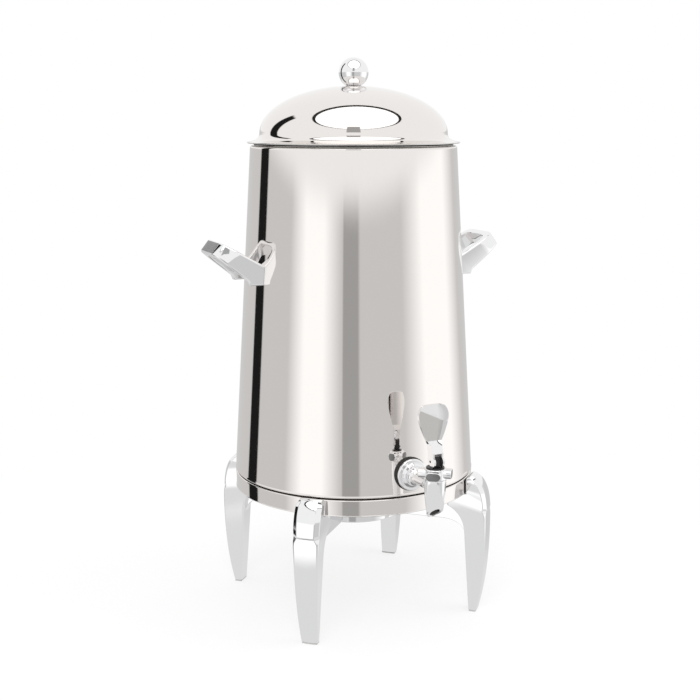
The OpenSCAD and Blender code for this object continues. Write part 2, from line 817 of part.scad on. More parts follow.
module hub_screws() {
    under_head = hub_r - hub_t - 0.4;
    color(steel) quarters(45) for (z = hub_screw_zs) {
        rod_x(hub_screw_r, under_head - 1, hub_r + hub_screw_reach, 0, z);
        difference() {
            rod_x(hub_head_r, under_head - hub_head_h, under_head, 0, z);
            rod_x(hex_r, under_head - hub_head_h - 1, under_head - hex_h, 0, z, 6);
        }
    }
}

module plate_screws() {
    color(steel) quarters(0) translate([hub_r - hub_t / 2, 0, 0]) {
        translate([0, 0, plate_z - plate_screw_reach])
            cylinder(r = plate_screw_r, h = plate_screw_reach + plate_t + 1, $fn = 32);
        translate([0, 0, plate_top_z]) cylinder(r = pan_head_r, h = pan_head_h);
    }
}

module head_screws() {
    under_head = base_r - band_t - 1;
    color(steel) quarters(45) {
        rod_x(head_screw_r, under_head - 1, base_r + head_screw_reach, 0, head_screw_z);
        rod_x(pan_head_r, under_head - pan_head_h, under_head, 0, head_screw_z);
    }
}

module foot_glides() {
    color(pale_rubber) quarters(45) translate([glide_at, 0, 0]) {
        translate([-foot_d / 2 + 0.8, -foot_w / 2 + 1, 0]) cube([foot_d - 1.6, foot_w - 2, glide_t]);
        translate([0, 0, glide_t - 0.5]) cylinder(r = peg_r, h = 7, $fn = 32);
    }
}

outer_shell();
shell_bottom();
inner_liner();
vacuum_cap();
base_seal();
base_band();
base_plate();
tie_studs();
tie_spacers();
tie_nuts();
lid_dome();
lid_pan();
lid_insulation();
lid_gasket();
lid_knob();
knob_screw();
knob_washer();
handle_right();
handle_left();
handle_studs();
handle_set_screws();
outlet_tube();
outlet_gasket();
flange_nut();
inner_washer();
inner_nut();
faucet_body();
bonnet();
stem_seal();
valve_stem();
seat_cup();
faucet_spring();
lever();
lever_pin();
placed_leg(0);  // leg_front_left
placed_leg(1);  // leg_front_right
placed_leg(2);  // leg_back_right
placed_leg(3);  // leg_back_left
stand_hub();
hub_screws();
plate_screws();
head_screws();
foot_glides();
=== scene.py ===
"""Insulated coffee urn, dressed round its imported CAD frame.

Every piece is in metres in the frame's own axes: +Z up, origin on the table under the urn's axis,
faucet towards -Y. Shapes are drawn in millimetres and scaled once, where their mesh is made.
"""
import json
import math

import bmesh
import bpy
from bpy.props import FloatProperty, FloatVectorProperty, IntProperty, PointerProperty
from mathutils import Matrix, Vector


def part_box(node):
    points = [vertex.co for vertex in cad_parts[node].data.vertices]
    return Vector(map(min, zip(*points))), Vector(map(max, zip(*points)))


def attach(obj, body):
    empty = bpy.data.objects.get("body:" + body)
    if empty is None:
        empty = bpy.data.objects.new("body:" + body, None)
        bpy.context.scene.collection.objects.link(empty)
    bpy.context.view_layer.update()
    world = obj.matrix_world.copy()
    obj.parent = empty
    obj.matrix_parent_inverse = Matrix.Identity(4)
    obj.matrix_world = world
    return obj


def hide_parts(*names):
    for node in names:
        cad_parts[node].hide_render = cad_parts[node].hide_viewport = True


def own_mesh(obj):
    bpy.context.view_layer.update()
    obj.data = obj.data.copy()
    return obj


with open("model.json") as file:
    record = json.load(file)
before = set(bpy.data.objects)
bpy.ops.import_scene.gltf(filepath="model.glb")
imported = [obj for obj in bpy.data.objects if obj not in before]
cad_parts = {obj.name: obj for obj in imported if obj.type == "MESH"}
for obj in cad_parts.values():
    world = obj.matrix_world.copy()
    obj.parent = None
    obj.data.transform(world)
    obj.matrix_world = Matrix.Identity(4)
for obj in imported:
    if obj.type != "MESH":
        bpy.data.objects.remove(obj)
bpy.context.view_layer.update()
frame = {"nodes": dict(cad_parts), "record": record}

bl_info = {
    "name": "Insulated Coffee Urn",
    "version": (1, 0, 0),
    "blender": (4, 5, 0),
    "location": "View3D > Sidebar > Urn",
    "description": "Dresses an insulated coffee urn: polished shell, cast legs and handles, lever faucet",
    "category": "Add Mesh",
}

MM = 0.001
WELD = 1e-7  # points closer than this, in metres, are one point


# ---- places that come from the frame, in millimetres ----

def low(node, axis=2):
    """Lowest coordinate of a CAD node along an axis, in millimetres."""
    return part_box(node)[0][axis] / MM


def high(node, axis=2):
    """Highest coordinate of a CAD node along an axis, in millimetres."""
    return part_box(node)[1][axis] / MM


SEAM_Z = low("outer_shell")
TOP_Z = high("outer_shell")
BAND_Z = low("base_band")
BAND_TOP_Z = high("base_band")
BRIM_Z = low("lid_dome")
APEX_Z = high("lid_dome")
BRIM_R = high("lid_dome", 0)
BARREL_Y = (low("stem_seal", 1) + high("stem_seal", 1)) / 2
BARREL_TOP_Z = low("bonnet") + 6
BONNET_TOP_Z = high("bonnet")
OUTLET_Z = (low("flange_nut") + high("flange_nut")) / 2
PIN_Z = (low("lever_pin") + high("lever_pin")) / 2
HUB_Z = low("stand_hub")
STEM_TRAVEL = 2.2  # range of the stem_lift joint
STEM_HOLE_R = 3.05  # hole that the stem passes in the bonnet and in the disc on it
FACING = 0.985  # how nearly a face has to look one way to count as facing it, as a cosine
LEG_TURNS = {"leg_front_left": -135, "leg_front_right": -45, "leg_back_right": 45, "leg_back_left": 135}


# ---- sizes and colours a user would change ----

def hex_colour(code):
    """Linear RGBA of an sRGB hex colour such as e9e5e2."""
    channels = [int(code[i:i + 2], 16) / 255 for i in (0, 2, 4)]
    linear = [c / 12.92 if c <= 0.04045 else ((c + 0.055) / 1.055) ** 2.4 for c in channels]
    return (*linear, 1.0)


def size(name, description, default_mm):
    """A length property in metres whose default is given in millimetres."""
    return FloatProperty(name=name, description=description, default=default_mm * MM, min=0,
                         unit="LENGTH", subtype="DISTANCE")


def angle(name, description, default_deg):
    """An angle property in radians whose default is given in degrees."""
    return FloatProperty(name=name, description=description, default=math.radians(default_deg),
                         unit="ROTATION", subtype="ANGLE")


def tint(name, description, code):
    """A colour property whose default is an sRGB hex colour."""
    return FloatVectorProperty(name=name, description=description, subtype="COLOR", size=4,
                               min=0, max=1, default=hex_colour(code))


def share(name, description, default):
    """A factor property from 0 to 1."""
    return FloatProperty(name=name, description=description, default=default, min=0, max=1,
                         subtype="FACTOR")


class UrnBody(bpy.types.PropertyGroup):
    """Sizes of the tapered body and the base band."""
    base_r: size("Base radius", "Radius of the tapered shell at its bottom seam", 150)
    rim_r: size("Rim radius", "Radius of the shell at its top corner", 126)
    corner_r: size("Corner", "Radius of the shell's rounded top corner", 3)
    bead_r: size("Bead", "Radius of the rolled bead at the shell's lower edge", 1.4)
    sheet: size("Sheet", "Sheet thickness of the shell", 1.2)
    gap: size("Insulating gap", "Gap between the shell and the liner", 12)
    steps: IntProperty(name="Steps", description="Facets round the body", default=192, min=24)


class UrnLid(bpy.types.PropertyGroup):
    """Sizes of the lid."""
    dome_r: size("Dome radius", "Radius of the dome where it meets the brim's flare", 114.5)
    flare_h: size("Flare height", "Height of the brim's flare", 9.4)
    sheet: size("Sheet", "Sheet thickness of the lid", 1)
    plug_r: size("Plug radius", "Radius of the plug under the lid", 110.02)
    knob_r: size("Knob radius", "Radius of the ball knob", 18)
    neck_r: size("Neck radius", "Radius of the knob's neck", 8.2)


class UrnHandles(bpy.types.PropertyGroup):
    """Sizes of the loop handles."""
    turn: angle("Turn", "Turn of the handle pair about the urn's axis", -3)
    slope: angle("Slope", "Rise of the arms from level", 38.5)
    half_w: size("Half width", "Half the width across the arms", 36)
    arm_t: size("Arm", "Thickness of an arm", 9.5)
    root_h: size("Root height", "Height of an arm at its root", 25.4)
    tip_h: size("Grip height", "Height of the grip", 17)
    reach: size("Reach", "Length of the arms along their slope", 52.75)
    edge: size("Edge", "Rounding of the cast edges", 2.4)


class UrnFaucet(bpy.types.PropertyGroup):
    """Sizes of the lever faucet."""
    barrel_r: size("Barrel radius", "Radius of the barrel at its top", 13.4)
    spout_r: size("Spout radius", "Radius of the spout at its mouth", 8.2)
    bore_r: size("Bore radius", "Radius of the spout's bore", 5.6)
    mouth_slope: angle("Mouth slope", "Slope of the spout's mouth", 43)
    nut_r: size("Flange nut radius", "Radius of the nut against the body", 19)
    lobe_w: size("Lobe width", "Width of a lobe of the bonnet", 17.4)
    lobe_reach: size("Lobe reach", "Reach of a lobe from the barrel's axis", 18.8)
    lobe_turn: angle("Lobe turn", "Turn of the lobes about the barrel's axis", -38)
    wire_r: size("Spring wire", "Radius of the valve spring's wire", 0.6)
    paddle_w: size("Paddle width", "Width of the lever's paddle", 40)
    paddle_t: size("Paddle thickness", "Thickness of the lever's paddle", 4)
    face_lean: angle("Face lean", "Lean of the paddle's face towards the body", 2.5)
    fold_turn: angle("Fold turn", "Slope of the fold across the paddle's face", 25)
    fold_drop: size("Fold drop", "Depth of the fold's middle under the paddle's top", 13.5)
    fold_bend: angle("Fold bend", "How far the face above the fold turns back", 6)


class UrnStand(bpy.types.PropertyGroup):
    """Sizes of the four-legged stand."""
    knee_r: size("Knee radius", "Distance of the legs' outer knees from the axis", 177)
    foot_w: size("Foot width", "Width of a leg at its foot", 20.4)
    leg_w: size("Head width", "Width of a leg at its head", 33)
    web_t: size("Arm thickness", "Thickness of the arms under the body", 10)
    hub_r: size("Hub radius", "Outer radius of the hub", 62)
    hub_t: size("Hub wall", "Wall of the hub", 10)
    pad: size("Pad", "Height of the raised pad on each leg's head", 0.9)
    edge: size("Edge", "Rounding of the cast edges", 0.7)


class UrnFinish(bpy.types.PropertyGroup):
    """Colours and roughnesses of the finishes."""
    mirror: tint("Mirror steel", "Colour of the mirror-polished stainless steel", "efebe8")
    mirror_rough: share("Mirror roughness", "Roughness of the mirror-polished steel", 0.045)
    chrome: tint("Chrome", "Colour of the chromed castings", "f3f3f4")
    chrome_rough: share("Chrome roughness", "Roughness of the chromed castings", 0.05)
    rolled: tint("Rolled steel", "Colour of the bright rolled stainless steel", "dbd9d6")
    fastener: tint("Fastener steel", "Colour of the plain stainless fasteners", "b7b5b3")
    rubber: tint("Rubber", "Colour of the black seals", "1d1b1a")
    glide: tint("Glides", "Colour of the pale rubber glides under the feet", "c4c4c2")
    # the bore's dark colour is painted shade inside the spout
    bore: tint("Raw bore", "Colour of the unplated bore of the faucet", "4a4846")
    # the thumb face's greyer colour is painted shade on the paddle's front
    thumb: tint("Thumb face", "Colour of the lever's rubbed thumb face", "d6d4d1")
    # the satin's dark grey is painted shade on the lobe ends and the grip ends
    satin: tint("Satin chrome", "Colour of the blasted faces of the faucet", "858585")
    acetal: tint("Acetal", "Colour of the black stem and its disc", "121213")
    foam: tint("Foam", "Colour of the lid's insulating foam", "e2d3a0")


class UrnStage(bpy.types.PropertyGroup):
    """The camera and the light."""
    lens: FloatProperty(name="Lens", description="Focal length in millimetres", default=62.08, min=10)
    distance: size("Distance", "Level distance from the urn's axis to the camera", 1492.35)
    height: size("Height", "Height of the camera", 612.8)
    turn: angle("Turn", "Turn of the camera from the faucet's front", -26.5)
    pitch: angle("Pitch", "How far the camera looks down", 10.94)
    shift: FloatProperty(name="Shift", description="Sideways shift of the lens", default=-0.0051)
    world: FloatProperty(name="World", description="Strength of the even light all round", default=0.9)


GROUPS = {
    "urn_body": UrnBody, "urn_lid": UrnLid, "urn_handles": UrnHandles, "urn_faucet": UrnFaucet,
    "urn_stand": UrnStand, "urn_finish": UrnFinish, "urn_stage": UrnStage,
}


class Millimetres:
    """Reads a property group's lengths in millimetres and its angles in degrees."""

    def __init__(self, group):
        self.group = group

    def __getattr__(self, name):
        value = getattr(self.group, name)
        unit = self.group.bl_rna.properties[name].unit
        if unit == "LENGTH":
            return value / MM
        if unit == "ROTATION":
            return math.degrees(value)
        return value


def sizes(name):
    """The sizes of one property group, in millimetres and degrees."""
    return Millimetres(getattr(bpy.context.scene, name))


# ---- node helper ----

def add(tree, kind, inputs=None, **settings):
    """Adds a node, sets its settings, and sets or links its inputs by name or by number."""
    node = tree.nodes.new(kind)
    for key, value in settings.items():
        setattr(node, key, value)
    for key, value in (inputs or {}).items():
        if isinstance(value, bpy.types.NodeSocket):
            tree.links.new(value, node.inputs[key])
        else:
            node.inputs[key].default_value = value
    return node


# ---- finishes ----

# Each finish, by the name of its colour in UrnFinish: the material's name, its metallic value, its roughness
# (None where UrnFinish holds it), how far the roughness swings, the grain in millimetres, the height of the
# surface's waves in millimetres, how many times finer the grain runs along each axis, and how far the colour
# swings
EVEN = (1, 1, 1)
FINISHES = {
    # Mirror-polished stainless steel: near-mirror, with buffing marks too fine to see one by one
    "mirror": ("mirror_polished_stainless", 1.0, None, 0.012, 2.0, 0.0004, (1, 1, 0.15), 0.02),
    # Polished, chromed zinc casting: bright, with a faint orange peel from the mould
    "chrome": ("chromed_casting", 1.0, None, 0.02, 5.0, 0.003, EVEN, 0.02),
    # Drilled bore of a casting: a dark colour that is painted shade deep in the bore, with turning marks round
    # it
    "bore": ("drilled_raw_bore", 0.9, 0.42, 0.08, 0.5, 0.004, (1, 1, 3), 0.2),
    # Chrome over a blasted face: the same metal with a fine grain that spreads its reflections, in a dark grey
    # colour that is painted shade on the lobe ends and grip ends
    "satin": ("blasted_satin_chrome", 1.0, 0.34, 0.07, 0.35, 0.006, EVEN, 0.08),
    # Chrome of the lever's thumb face: a soft sheen, and a greyer colour that is painted shade on the paddle's
    # front under the fold
    "thumb": ("rubbed_chrome_thumb_face", 1.0, 0.16, 0.05, 0.3, 0.004, EVEN, 0.05),
    # Moulded pale grey rubber: matt, and a little dusty
    "glide": ("moulded_pale_rubber", 0.0, 0.55, 0.1, 0.5, 0.02, EVEN, 0.06),
    # Bright rolled stainless steel: soft reflections drawn out along the rolling direction
    "rolled": ("bright_rolled_stainless", 1.0, 0.34, 0.05, 0.8, 0.0008, (0.06, 0.06, 1), 0.04),
    # Plain stainless fasteners: turned surfaces with a dull sheen
    "fastener": ("turned_fastener_steel", 1.0, 0.3, 0.08, 0.6, 0.003, EVEN, 0.08),
    # Moulded black food-grade rubber: matt, with a fine grain
    "rubber": ("moulded_black_rubber", 0.0, 0.62, 0.12, 0.5, 0.03, EVEN, 0.25),
    # Moulded black acetal: a dark plastic with a soft gloss
    "acetal": ("moulded_black_acetal", 0.0, 0.33, 0.07, 0.8, 0.01, EVEN, 0.2),
    # Rigid polyurethane foam: pale yellow, pitted by its cells
    "foam": ("rigid_foam", 0.0, 0.9, 0.06, 0.9, 0.25, EVEN, 0.18),
}
PATCH = 60  # size in millimetres of the broad patches in which a finish's colour swings
SLOT_FINISH = {
    "polished_steel": "mirror", "plain_steel": "rolled", "fastener_steel": "fastener",
    "chrome_casting": "chrome", "seal_rubber": "rubber", "black_nylon": "acetal", "pale_rubber": "glide",
    "foam": "foam",
}
NODE_SLOT = {part["node"]: part["material_slot"] for part in frame["record"]["subparts"]}
NODE_BODY = {node: body for body, nodes in frame["record"]["behaviour"]["bodies"].items() for node in nodes}


def finish(key):
    """Principled material of a finish, whose colour, roughness and surface vary over its grain."""
    name, metallic, roughness, spread, grain, bump, stretch, mottle = FINISHES[key]
    material = bpy.data.materials.get(name)
    if material:
        return material
    look = bpy.context.scene.urn_finish
    colour = getattr(look, key)
    if roughness is None:
        roughness = getattr(look, key + "_rough")
    material = bpy.data.materials.new(name)
    material.use_nodes = True
    tree = material.node_tree
    tree.nodes.clear()
    place = add(tree, "ShaderNodeTexCoord").outputs["Object"]
    scaled = add(tree, "ShaderNodeMapping", {"Vector": place, "Scale": stretch}).outputs["Vector"]
    fine = add(tree, "ShaderNodeTexNoise", {"Vector": scaled, "Scale": 1 / (grain * MM), "Detail": 4.0})
    broad = add(tree, "ShaderNodeTexNoise", {"Vector": place, "Scale": 1 / (PATCH * MM), "Detail": 2.0})
    dark = tuple(c * (1 - mottle) for c in colour[:3]) + (1.0,)
    tone = add(tree, "ShaderNodeMix", {0: broad.outputs["Fac"], 6: dark, 7: tuple(colour)},
               data_type="RGBA")
    rough = add(tree, "ShaderNodeMapRange", {
        "Value": fine.outputs["Fac"], "From Min": 0.3, "From Max": 0.7,
        "To Min": max(roughness - spread, 0.0), "To Max": roughness + spread})
    relief = add(tree, "ShaderNodeBump", {
        "Strength": 1.0, "Distance": bump * MM, "Height": fine.outputs["Fac"]})
    shader = add(tree, "ShaderNodeBsdfPrincipled", {
        "Base Color": tone.outputs[2], "Metallic": metallic, "Roughness": rough.outputs["Result"],
        "Normal": relief.outputs["Normal"]})
    add(tree, "ShaderNodeOutputMaterial", {"Surface": shader.outputs["BSDF"]})
    return material


# ---- outlines, in millimetres ----

def curve(a, b, c, n=8):
    """Points of a curve from a to c that is pulled towards b."""
    return [tuple((1 - t) ** 2 * p + 2 * t * (1 - t) * q + t * t * r for p, q, r in zip(a, b, c))
            for t in (i / n for i in range(n + 1))]


def sweep(start, end, n):
    """Angles in radians, in n steps from one angle in degrees to another."""
    return [math.radians(start + (end - start) * i / n) for i in range(n + 1)]


def circle(n):
    """Angles in radians, n of them round a full turn."""
    return [math.tau * i / n for i in range(n)]


def spot(radius, turn, z):
    """Point at a radius, an angle in radians and a height about the Z axis."""
    return (radius * math.cos(turn), radius * math.sin(turn), z)


def arc(x, y, radius, start, end, n=6):
    """Points of an arc about (x, y), between two angles in degrees."""
    return [(x + radius * math.cos(a), y + radius * math.sin(a)) for a in sweep(start, end, n)]


def on_round(radius, across):
    """How far out a circle of a radius stands at an offset from its middle line."""
    return math.sqrt(radius ** 2 - across ** 2)


def clamp(value):
    """The value, held between 0 and 1."""
    return min(max(value, 0), 1)


def rounded(corners, closed=False, n=4, guard=0.35):
    """Outline through (x, y, radius) corners, with each corner rounded.

    A straight stretch gets a point close to each of its ends, so that a smooth-shaded wall keeps its
    own direction right up to the rounding.
    """
    count = len(corners)
    points = []
    for i, (x, y, radius) in enumerate(corners):
        inner = closed or 0 < i < count - 1
        here = Vector((x, y))
        if not inner or not radius:
            points.append((x, y))
            continue
        before = Vector(corners[i - 1][:2]) - here
        after = Vector(corners[(i + 1) % count][:2]) - here
        turn = before.angle(after)
        reach = min(radius / math.tan(turn / 2), 0.45 * before.length, 0.45 * after.length)
        back, on = before.normalized(), after.normalized()
        a, b = here + back * reach, here + on * reach
        pre = here + back * min(reach + guard, 0.49 * before.length)
        post = here + on * min(reach + guard, 0.49 * after.length)
        centre = here + (back + on) * (reach / (1 + math.cos(turn)))
        points.append(tuple(pre))
        start = a - centre
        span = start.angle_signed(b - centre)
        for k in range(n + 1):
            c, s = math.cos(-span * k / n), math.sin(-span * k / n)
            points.append((centre.x + c * start.x - s * start.y, centre.y + s * start.x + c * start.y))
        points.append(tuple(post))
    return points


def shell_r(z):
    """Outer radius of the shell's cone at a height."""
    body = sizes("urn_body")
    slope = (body.rim_r - body.base_r) / (TOP_Z - SEAM_Z - body.corner_r)
    return body.base_r + slope * (z - SEAM_Z)


# ---- meshes ----

def placed(name, data):
    """New object in the scene."""
    thing = bpy.data.objects.new(name, data)
    bpy.context.scene.collection.objects.link(thing)
    return thing


def plain_mesh(name, verts, faces):
    """Object with a mesh made from points in millimetres."""
    mesh = bpy.data.meshes.new(name)
    mesh.from_pydata([tuple(c * MM for c in v) for v in verts], [], faces)
    mesh.update()
    return placed(name, mesh)


def outward(piece, crease=35):
    """Points the faces of closed shells outwards and shades them smooth between creases."""
    work = bmesh.new()
    work.from_mesh(piece.data)
    bmesh.ops.remove_doubles(work, verts=work.verts, dist=WELD)
    bmesh.ops.dissolve_degenerate(work, edges=work.edges, dist=WELD / 10)
    bmesh.ops.recalc_face_normals(work, faces=work.faces)
    work.to_mesh(piece.data)
    work.free()
    piece.data.shade_smooth()
    piece.data.set_sharp_from_angle(angle=math.radians(crease))
    return piece


def skin(rings, capped=True):
    """Points and faces of a tube through rings of equal length."""
    count = len(rings[0])
    verts = [p for ring in rings for p in ring]
    faces = []
    for i in range(len(rings) - 1):
        for k in range(count):
            a, b = i * count + k, i * count + (k + 1) % count
            faces.append((a, b, b + count, a + count))
    if capped:
        faces.append(tuple(range(count - 1, -1, -1)))
        faces.append(tuple(range(len(verts) - count, len(verts))))
    return verts, faces


def evaluated(piece):
    """Turns a piece and its modifiers into a plain mesh and removes the modifiers."""
    bpy.context.view_layer.update()
    graph = bpy.context.evaluated_depsgraph_get()
    mesh = bpy.data.meshes.new_from_object(piece.evaluated_get(graph))
    piece.modifiers.clear()
    piece.data = mesh
    return piece


def rounded_edges(piece, width, limit=28, segments=3):
    """Rounds every crease of a piece by a width in millimetres."""
    bevel = piece.modifiers.new("Edges", "BEVEL")
    bevel.width = width * MM
    bevel.segments = segments
    bevel.limit_method = "ANGLE"
    bevel.angle_limit = math.radians(limit)
    bevel.harden_normals = True
    bevel.use_clamp_overlap = True
    bevel.miter_outer = "MITER_ARC"
    return evaluated(piece)


def turned_by(degrees, axis="Z"):
    """Turn about an axis through the origin."""
    return Matrix.Rotation(math.radians(degrees), 4, axis)


def moved(piece, matrix):
    """Moves the mesh of a piece, so that its object stays at the origin."""
    piece.data.transform(matrix)
    return piece


def joined(name, pieces):
    """One piece out of several."""
    work = bmesh.new()
    for piece in pieces:
        work.from_mesh(piece.data)
    mesh = bpy.data.meshes.new(name)
    work.to_mesh(mesh)
    work.free()
    for piece in pieces:
        bpy.data.objects.remove(piece)
    return placed(name, mesh)


def cut(piece, cutter, operation="DIFFERENCE"):
    """Cuts a piece with another solid, or joins them, and deletes the other."""
    tool = piece.modifiers.new("Cut", "BOOLEAN")
    tool.operation = operation
    tool.solver = "EXACT"
    tool.object = cutter
    evaluated(piece)
    bpy.data.objects.remove(cutter)
    return piece


def seat(piece, *nodes, other=None, where=None):
    """Gives a finished piece its finish and body, in place of the CAD nodes it stands for.

    other is a second finish, for the faces that where() picks by their centre in millimetres and their normal.
    """
    slot = NODE_SLOT[nodes[0]]
    piece.data.materials.clear()
    piece.data.materials.append(finish(SLOT_FINISH[slot]))
    if other:
        piece.data.materials.append(finish(other))
    for polygon in piece.data.polygons:
        polygon.material_index = 1 if where and where(polygon.center / MM, polygon.normal) else 0
    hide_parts(*nodes)
    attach(piece, NODE_BODY[nodes[0]])


def refinish(node):
    """Gives a CAD node whose shape stays the finish of its material slot."""
    piece = frame["nodes"][node]
    piece.data.materials.clear()
    piece.data.materials.append(finish(SLOT_FINISH[NODE_SLOT[node]]))


# ---- node trees ----

def tree_with(name, inputs):
    """New Geometry Nodes tree with its group inputs and its input node."""
    tree = bpy.data.node_groups.new(name, "GeometryNodeTree")
    tree.interface.new_socket("Geometry", in_out="INPUT", socket_type="NodeSocketGeometry")
    for label, kind, default in inputs:
        socket = tree.interface.new_socket(label, in_out="INPUT", socket_type=kind)
        if default is not None:
            socket.default_value = default
    tree.interface.new_socket("Geometry", in_out="OUTPUT", socket_type="NodeSocketGeometry")
    return tree, add(tree, "NodeGroupInput").outputs


def ending(tree, geometry, material):
    """Ends a tree in Realize Instances and Set Material."""
    real = add(tree, "GeometryNodeRealizeInstances", {"Geometry": geometry})
    painted = add(tree, "GeometryNodeSetMaterial", {"Geometry": real.outputs[0], "Material": material})
    add(tree, "NodeGroupOutput", {"Geometry": painted.outputs[0]})
    return tree


def turning_tree():
    """Turns an outline in the XZ plane about the Z axis."""
    name = "Turned Piece"
    if name in bpy.data.node_groups:
        return bpy.data.node_groups[name]
    tree, given = tree_with(name, [
        ("Steps", "NodeSocketInt", 192), ("Rail Radius", "NodeSocketFloat", 0.1),
        ("Weld", "NodeSocketFloat", 1e-6), ("Material", "NodeSocketMaterial", None)])
    line = add(tree, "GeometryNodeMeshToCurve", {"Mesh": given["Geometry"]})
    place = add(tree, "ShaderNodeSeparateXYZ", {0: add(tree, "GeometryNodeInputPosition").outputs[0]})
    out = add(tree, "ShaderNodeMath", {0: place.outputs["X"], 1: given["Rail Radius"]}, operation="SUBTRACT")
    down = add(tree, "ShaderNodeMath", {0: place.outputs["Z"], 1: -1.0}, operation="MULTIPLY")
    flat = add(tree, "ShaderNodeCombineXYZ", {"X": out.outputs[0], "Y": down.outputs[0]})
    profile = add(tree, "GeometryNodeSetPosition", {
        "Geometry": line.outputs[0], "Position": flat.outputs[0]})
    rail = add(tree, "GeometryNodeCurvePrimitiveCircle", {
        "Resolution": given["Steps"], "Radius": given["Rail Radius"]})
    turned = add(tree, "GeometryNodeCurveToMesh", {
        "Curve": rail.outputs[0], "Profile Curve": profile.outputs[0]})
    welded = add(tree, "GeometryNodeMergeByDistance", {
        "Geometry": turned.outputs[0], "Distance": given["Weld"]})
    smooth = add(tree, "GeometryNodeSetShadeSmooth", {"Geometry": welded.outputs[0]})
    return ending(tree, smooth.outputs[0], given["Material"])


def circle_tree():
    """Copies a piece round the Z axis, at one or more levels."""
    name = "Ring of Copies"
    if name in bpy.data.node_groups:
        return bpy.data.node_groups[name]
    tree, given = tree_with(name, [
        ("Count", "NodeSocketInt", 4), ("Radius", "NodeSocketFloat", 0.1),
        ("First Angle", "NodeSocketFloat", 0.0), ("Levels", "NodeSocketInt", 1),
        ("Level Step", "NodeSocketFloat", 0.0), ("Material", "NodeSocketMaterial", None)])
    ring = add(tree, "GeometryNodeMeshCircle", {"Vertices": given["Count"], "Radius": given["Radius"]})
    levels = add(tree, "GeometryNodeMeshLine", {
        "Count": given["Levels"],
        "Offset": add(tree, "ShaderNodeCombineXYZ", {"Z": given["Level Step"]}).outputs[0]})
    stack = add(tree, "GeometryNodeInstanceOnPoints", {
        "Points": levels.outputs[0], "Instance": ring.outputs[0]})
    posts = add(tree, "GeometryNodeRealizeInstances", {"Geometry": stack.outputs[0]})
    place = add(tree, "ShaderNodeSeparateXYZ", {0: add(tree, "GeometryNodeInputPosition").outputs[0]})
    turn = add(tree, "ShaderNodeMath", {0: place.outputs["Y"], 1: place.outputs["X"]}, operation="ARCTAN2")
    heading = add(tree, "ShaderNodeCombineXYZ", {"Z": turn.outputs[0]})
    copies = add(tree, "GeometryNodeInstanceOnPoints", {
        "Points": posts.outputs[0], "Instance": given["Geometry"], "Rotation": heading.outputs[0]})
    turned = add(tree, "GeometryNodeTransform", {
        "Geometry": copies.outputs[0],
        "Rotation": add(tree, "ShaderNodeCombineXYZ", {"Z": given["First Angle"]}).outputs[0]})
    return ending(tree, turned.outputs[0], given["Material"])


def grown(piece, tree, values):
    """Runs a tree on a piece with its named inputs set, and keeps the result as a plain mesh."""
    modifier = piece.modifiers.new(tree.name, "NODES")
    modifier.node_group = tree
    for item in tree.interface.items_tree:
        if item.item_type == "SOCKET" and item.in_out == "INPUT" and item.name in values:
            modifier[item.identifier] = values[item.name]
    return evaluated(piece)


def turned_piece(name, outline, steps, key, closed=True, crease=35):
    """Piece of a finish, turned from an (r, z) outline in millimetres."""
    count = len(outline)
    mesh = bpy.data.meshes.new(name)
    edges = [(i, (i + 1) % count) for i in range(count if closed else count - 1)]
    mesh.from_pydata([(r * MM, 0, z * MM) for r, z in outline], edges, [])
    reach = max(r for r, z in outline)
    piece = grown(placed(name, mesh), turning_tree(), {
        "Steps": steps, "Rail Radius": reach * MM, "Material": finish(key)})
    return outward(piece, crease)


# ---- operators: the body ----

class UrnOperator(bpy.types.Operator):
    """Base of the urn's operators: runs make() and reports that it is done."""
    bl_idname = "urn.base"
    bl_label = "Urn piece"
    bl_options = {"REGISTER", "UNDO"}

    def execute(self, context):
        self.make()
        return {"FINISHED"}


class URN_OT_body(UrnOperator):
    """Turns the polished outer shell and the liner inside it"""
    bl_idname = "urn.body"
    bl_label = "Body"

    def make(self):
        body = sizes("urn_body")
        lean = math.degrees(math.atan((body.base_r - body.rim_r) / (TOP_Z - SEAM_Z)))
        bead_x, bead_z = body.base_r + 0.3 - body.bead_r, SEAM_Z + body.bead_r
        corner_x, corner_z = body.rim_r - body.corner_r, TOP_Z - body.corner_r
        liner_top = shell_r(TOP_Z) - body.sheet - body.gap
        foot_z = bead_z + 2.2
        shell = arc(bead_x, bead_z, body.bead_r, -90, 42, 8)
        shell += [(shell_r(foot_z), foot_z), (shell_r(corner_z - 0.5), corner_z - 0.5)]
        shell += arc(corner_x, corner_z, body.corner_r, lean, 90, 8)
        shell += [(corner_x - 0.5, TOP_Z), (liner_top + 0.1, TOP_Z)]
        shell += [(liner_top + 0.1, TOP_Z - body.sheet), (corner_x - 0.5, TOP_Z - body.sheet)]
        shell += arc(corner_x, corner_z, body.corner_r - body.sheet, 90, lean, 4)
        shell += [(shell_r(foot_z) - body.sheet, foot_z)]
        shell += arc(bead_x, bead_z, body.bead_r, 98, 262, 8)
        seat(turned_piece("shell_wall", shell, body.steps, "mirror"), "outer_shell")

        floor_z = high("shell_bottom") + 6
        wall_r = shell_r(floor_z + 4) - body.sheet - body.gap
        rim_z = high("inner_liner")
        rim_r = liner_top + 8.6
        thick = 1
        liner = [(0, floor_z, 0), (wall_r, floor_z, 4), (liner_top, TOP_Z, 0.2), (rim_r, TOP_Z, 0.3),
                 (rim_r, rim_z, 0.45), (liner_top - thick, rim_z, 0.8), (wall_r - thick, floor_z + thick, 3),
                 (0, floor_z + thick, 0)]
        wall = turned_piece("liner_wall", rounded(liner, guard=0.6), body.steps, "rolled", closed=False)
        seat(wall, "inner_liner")


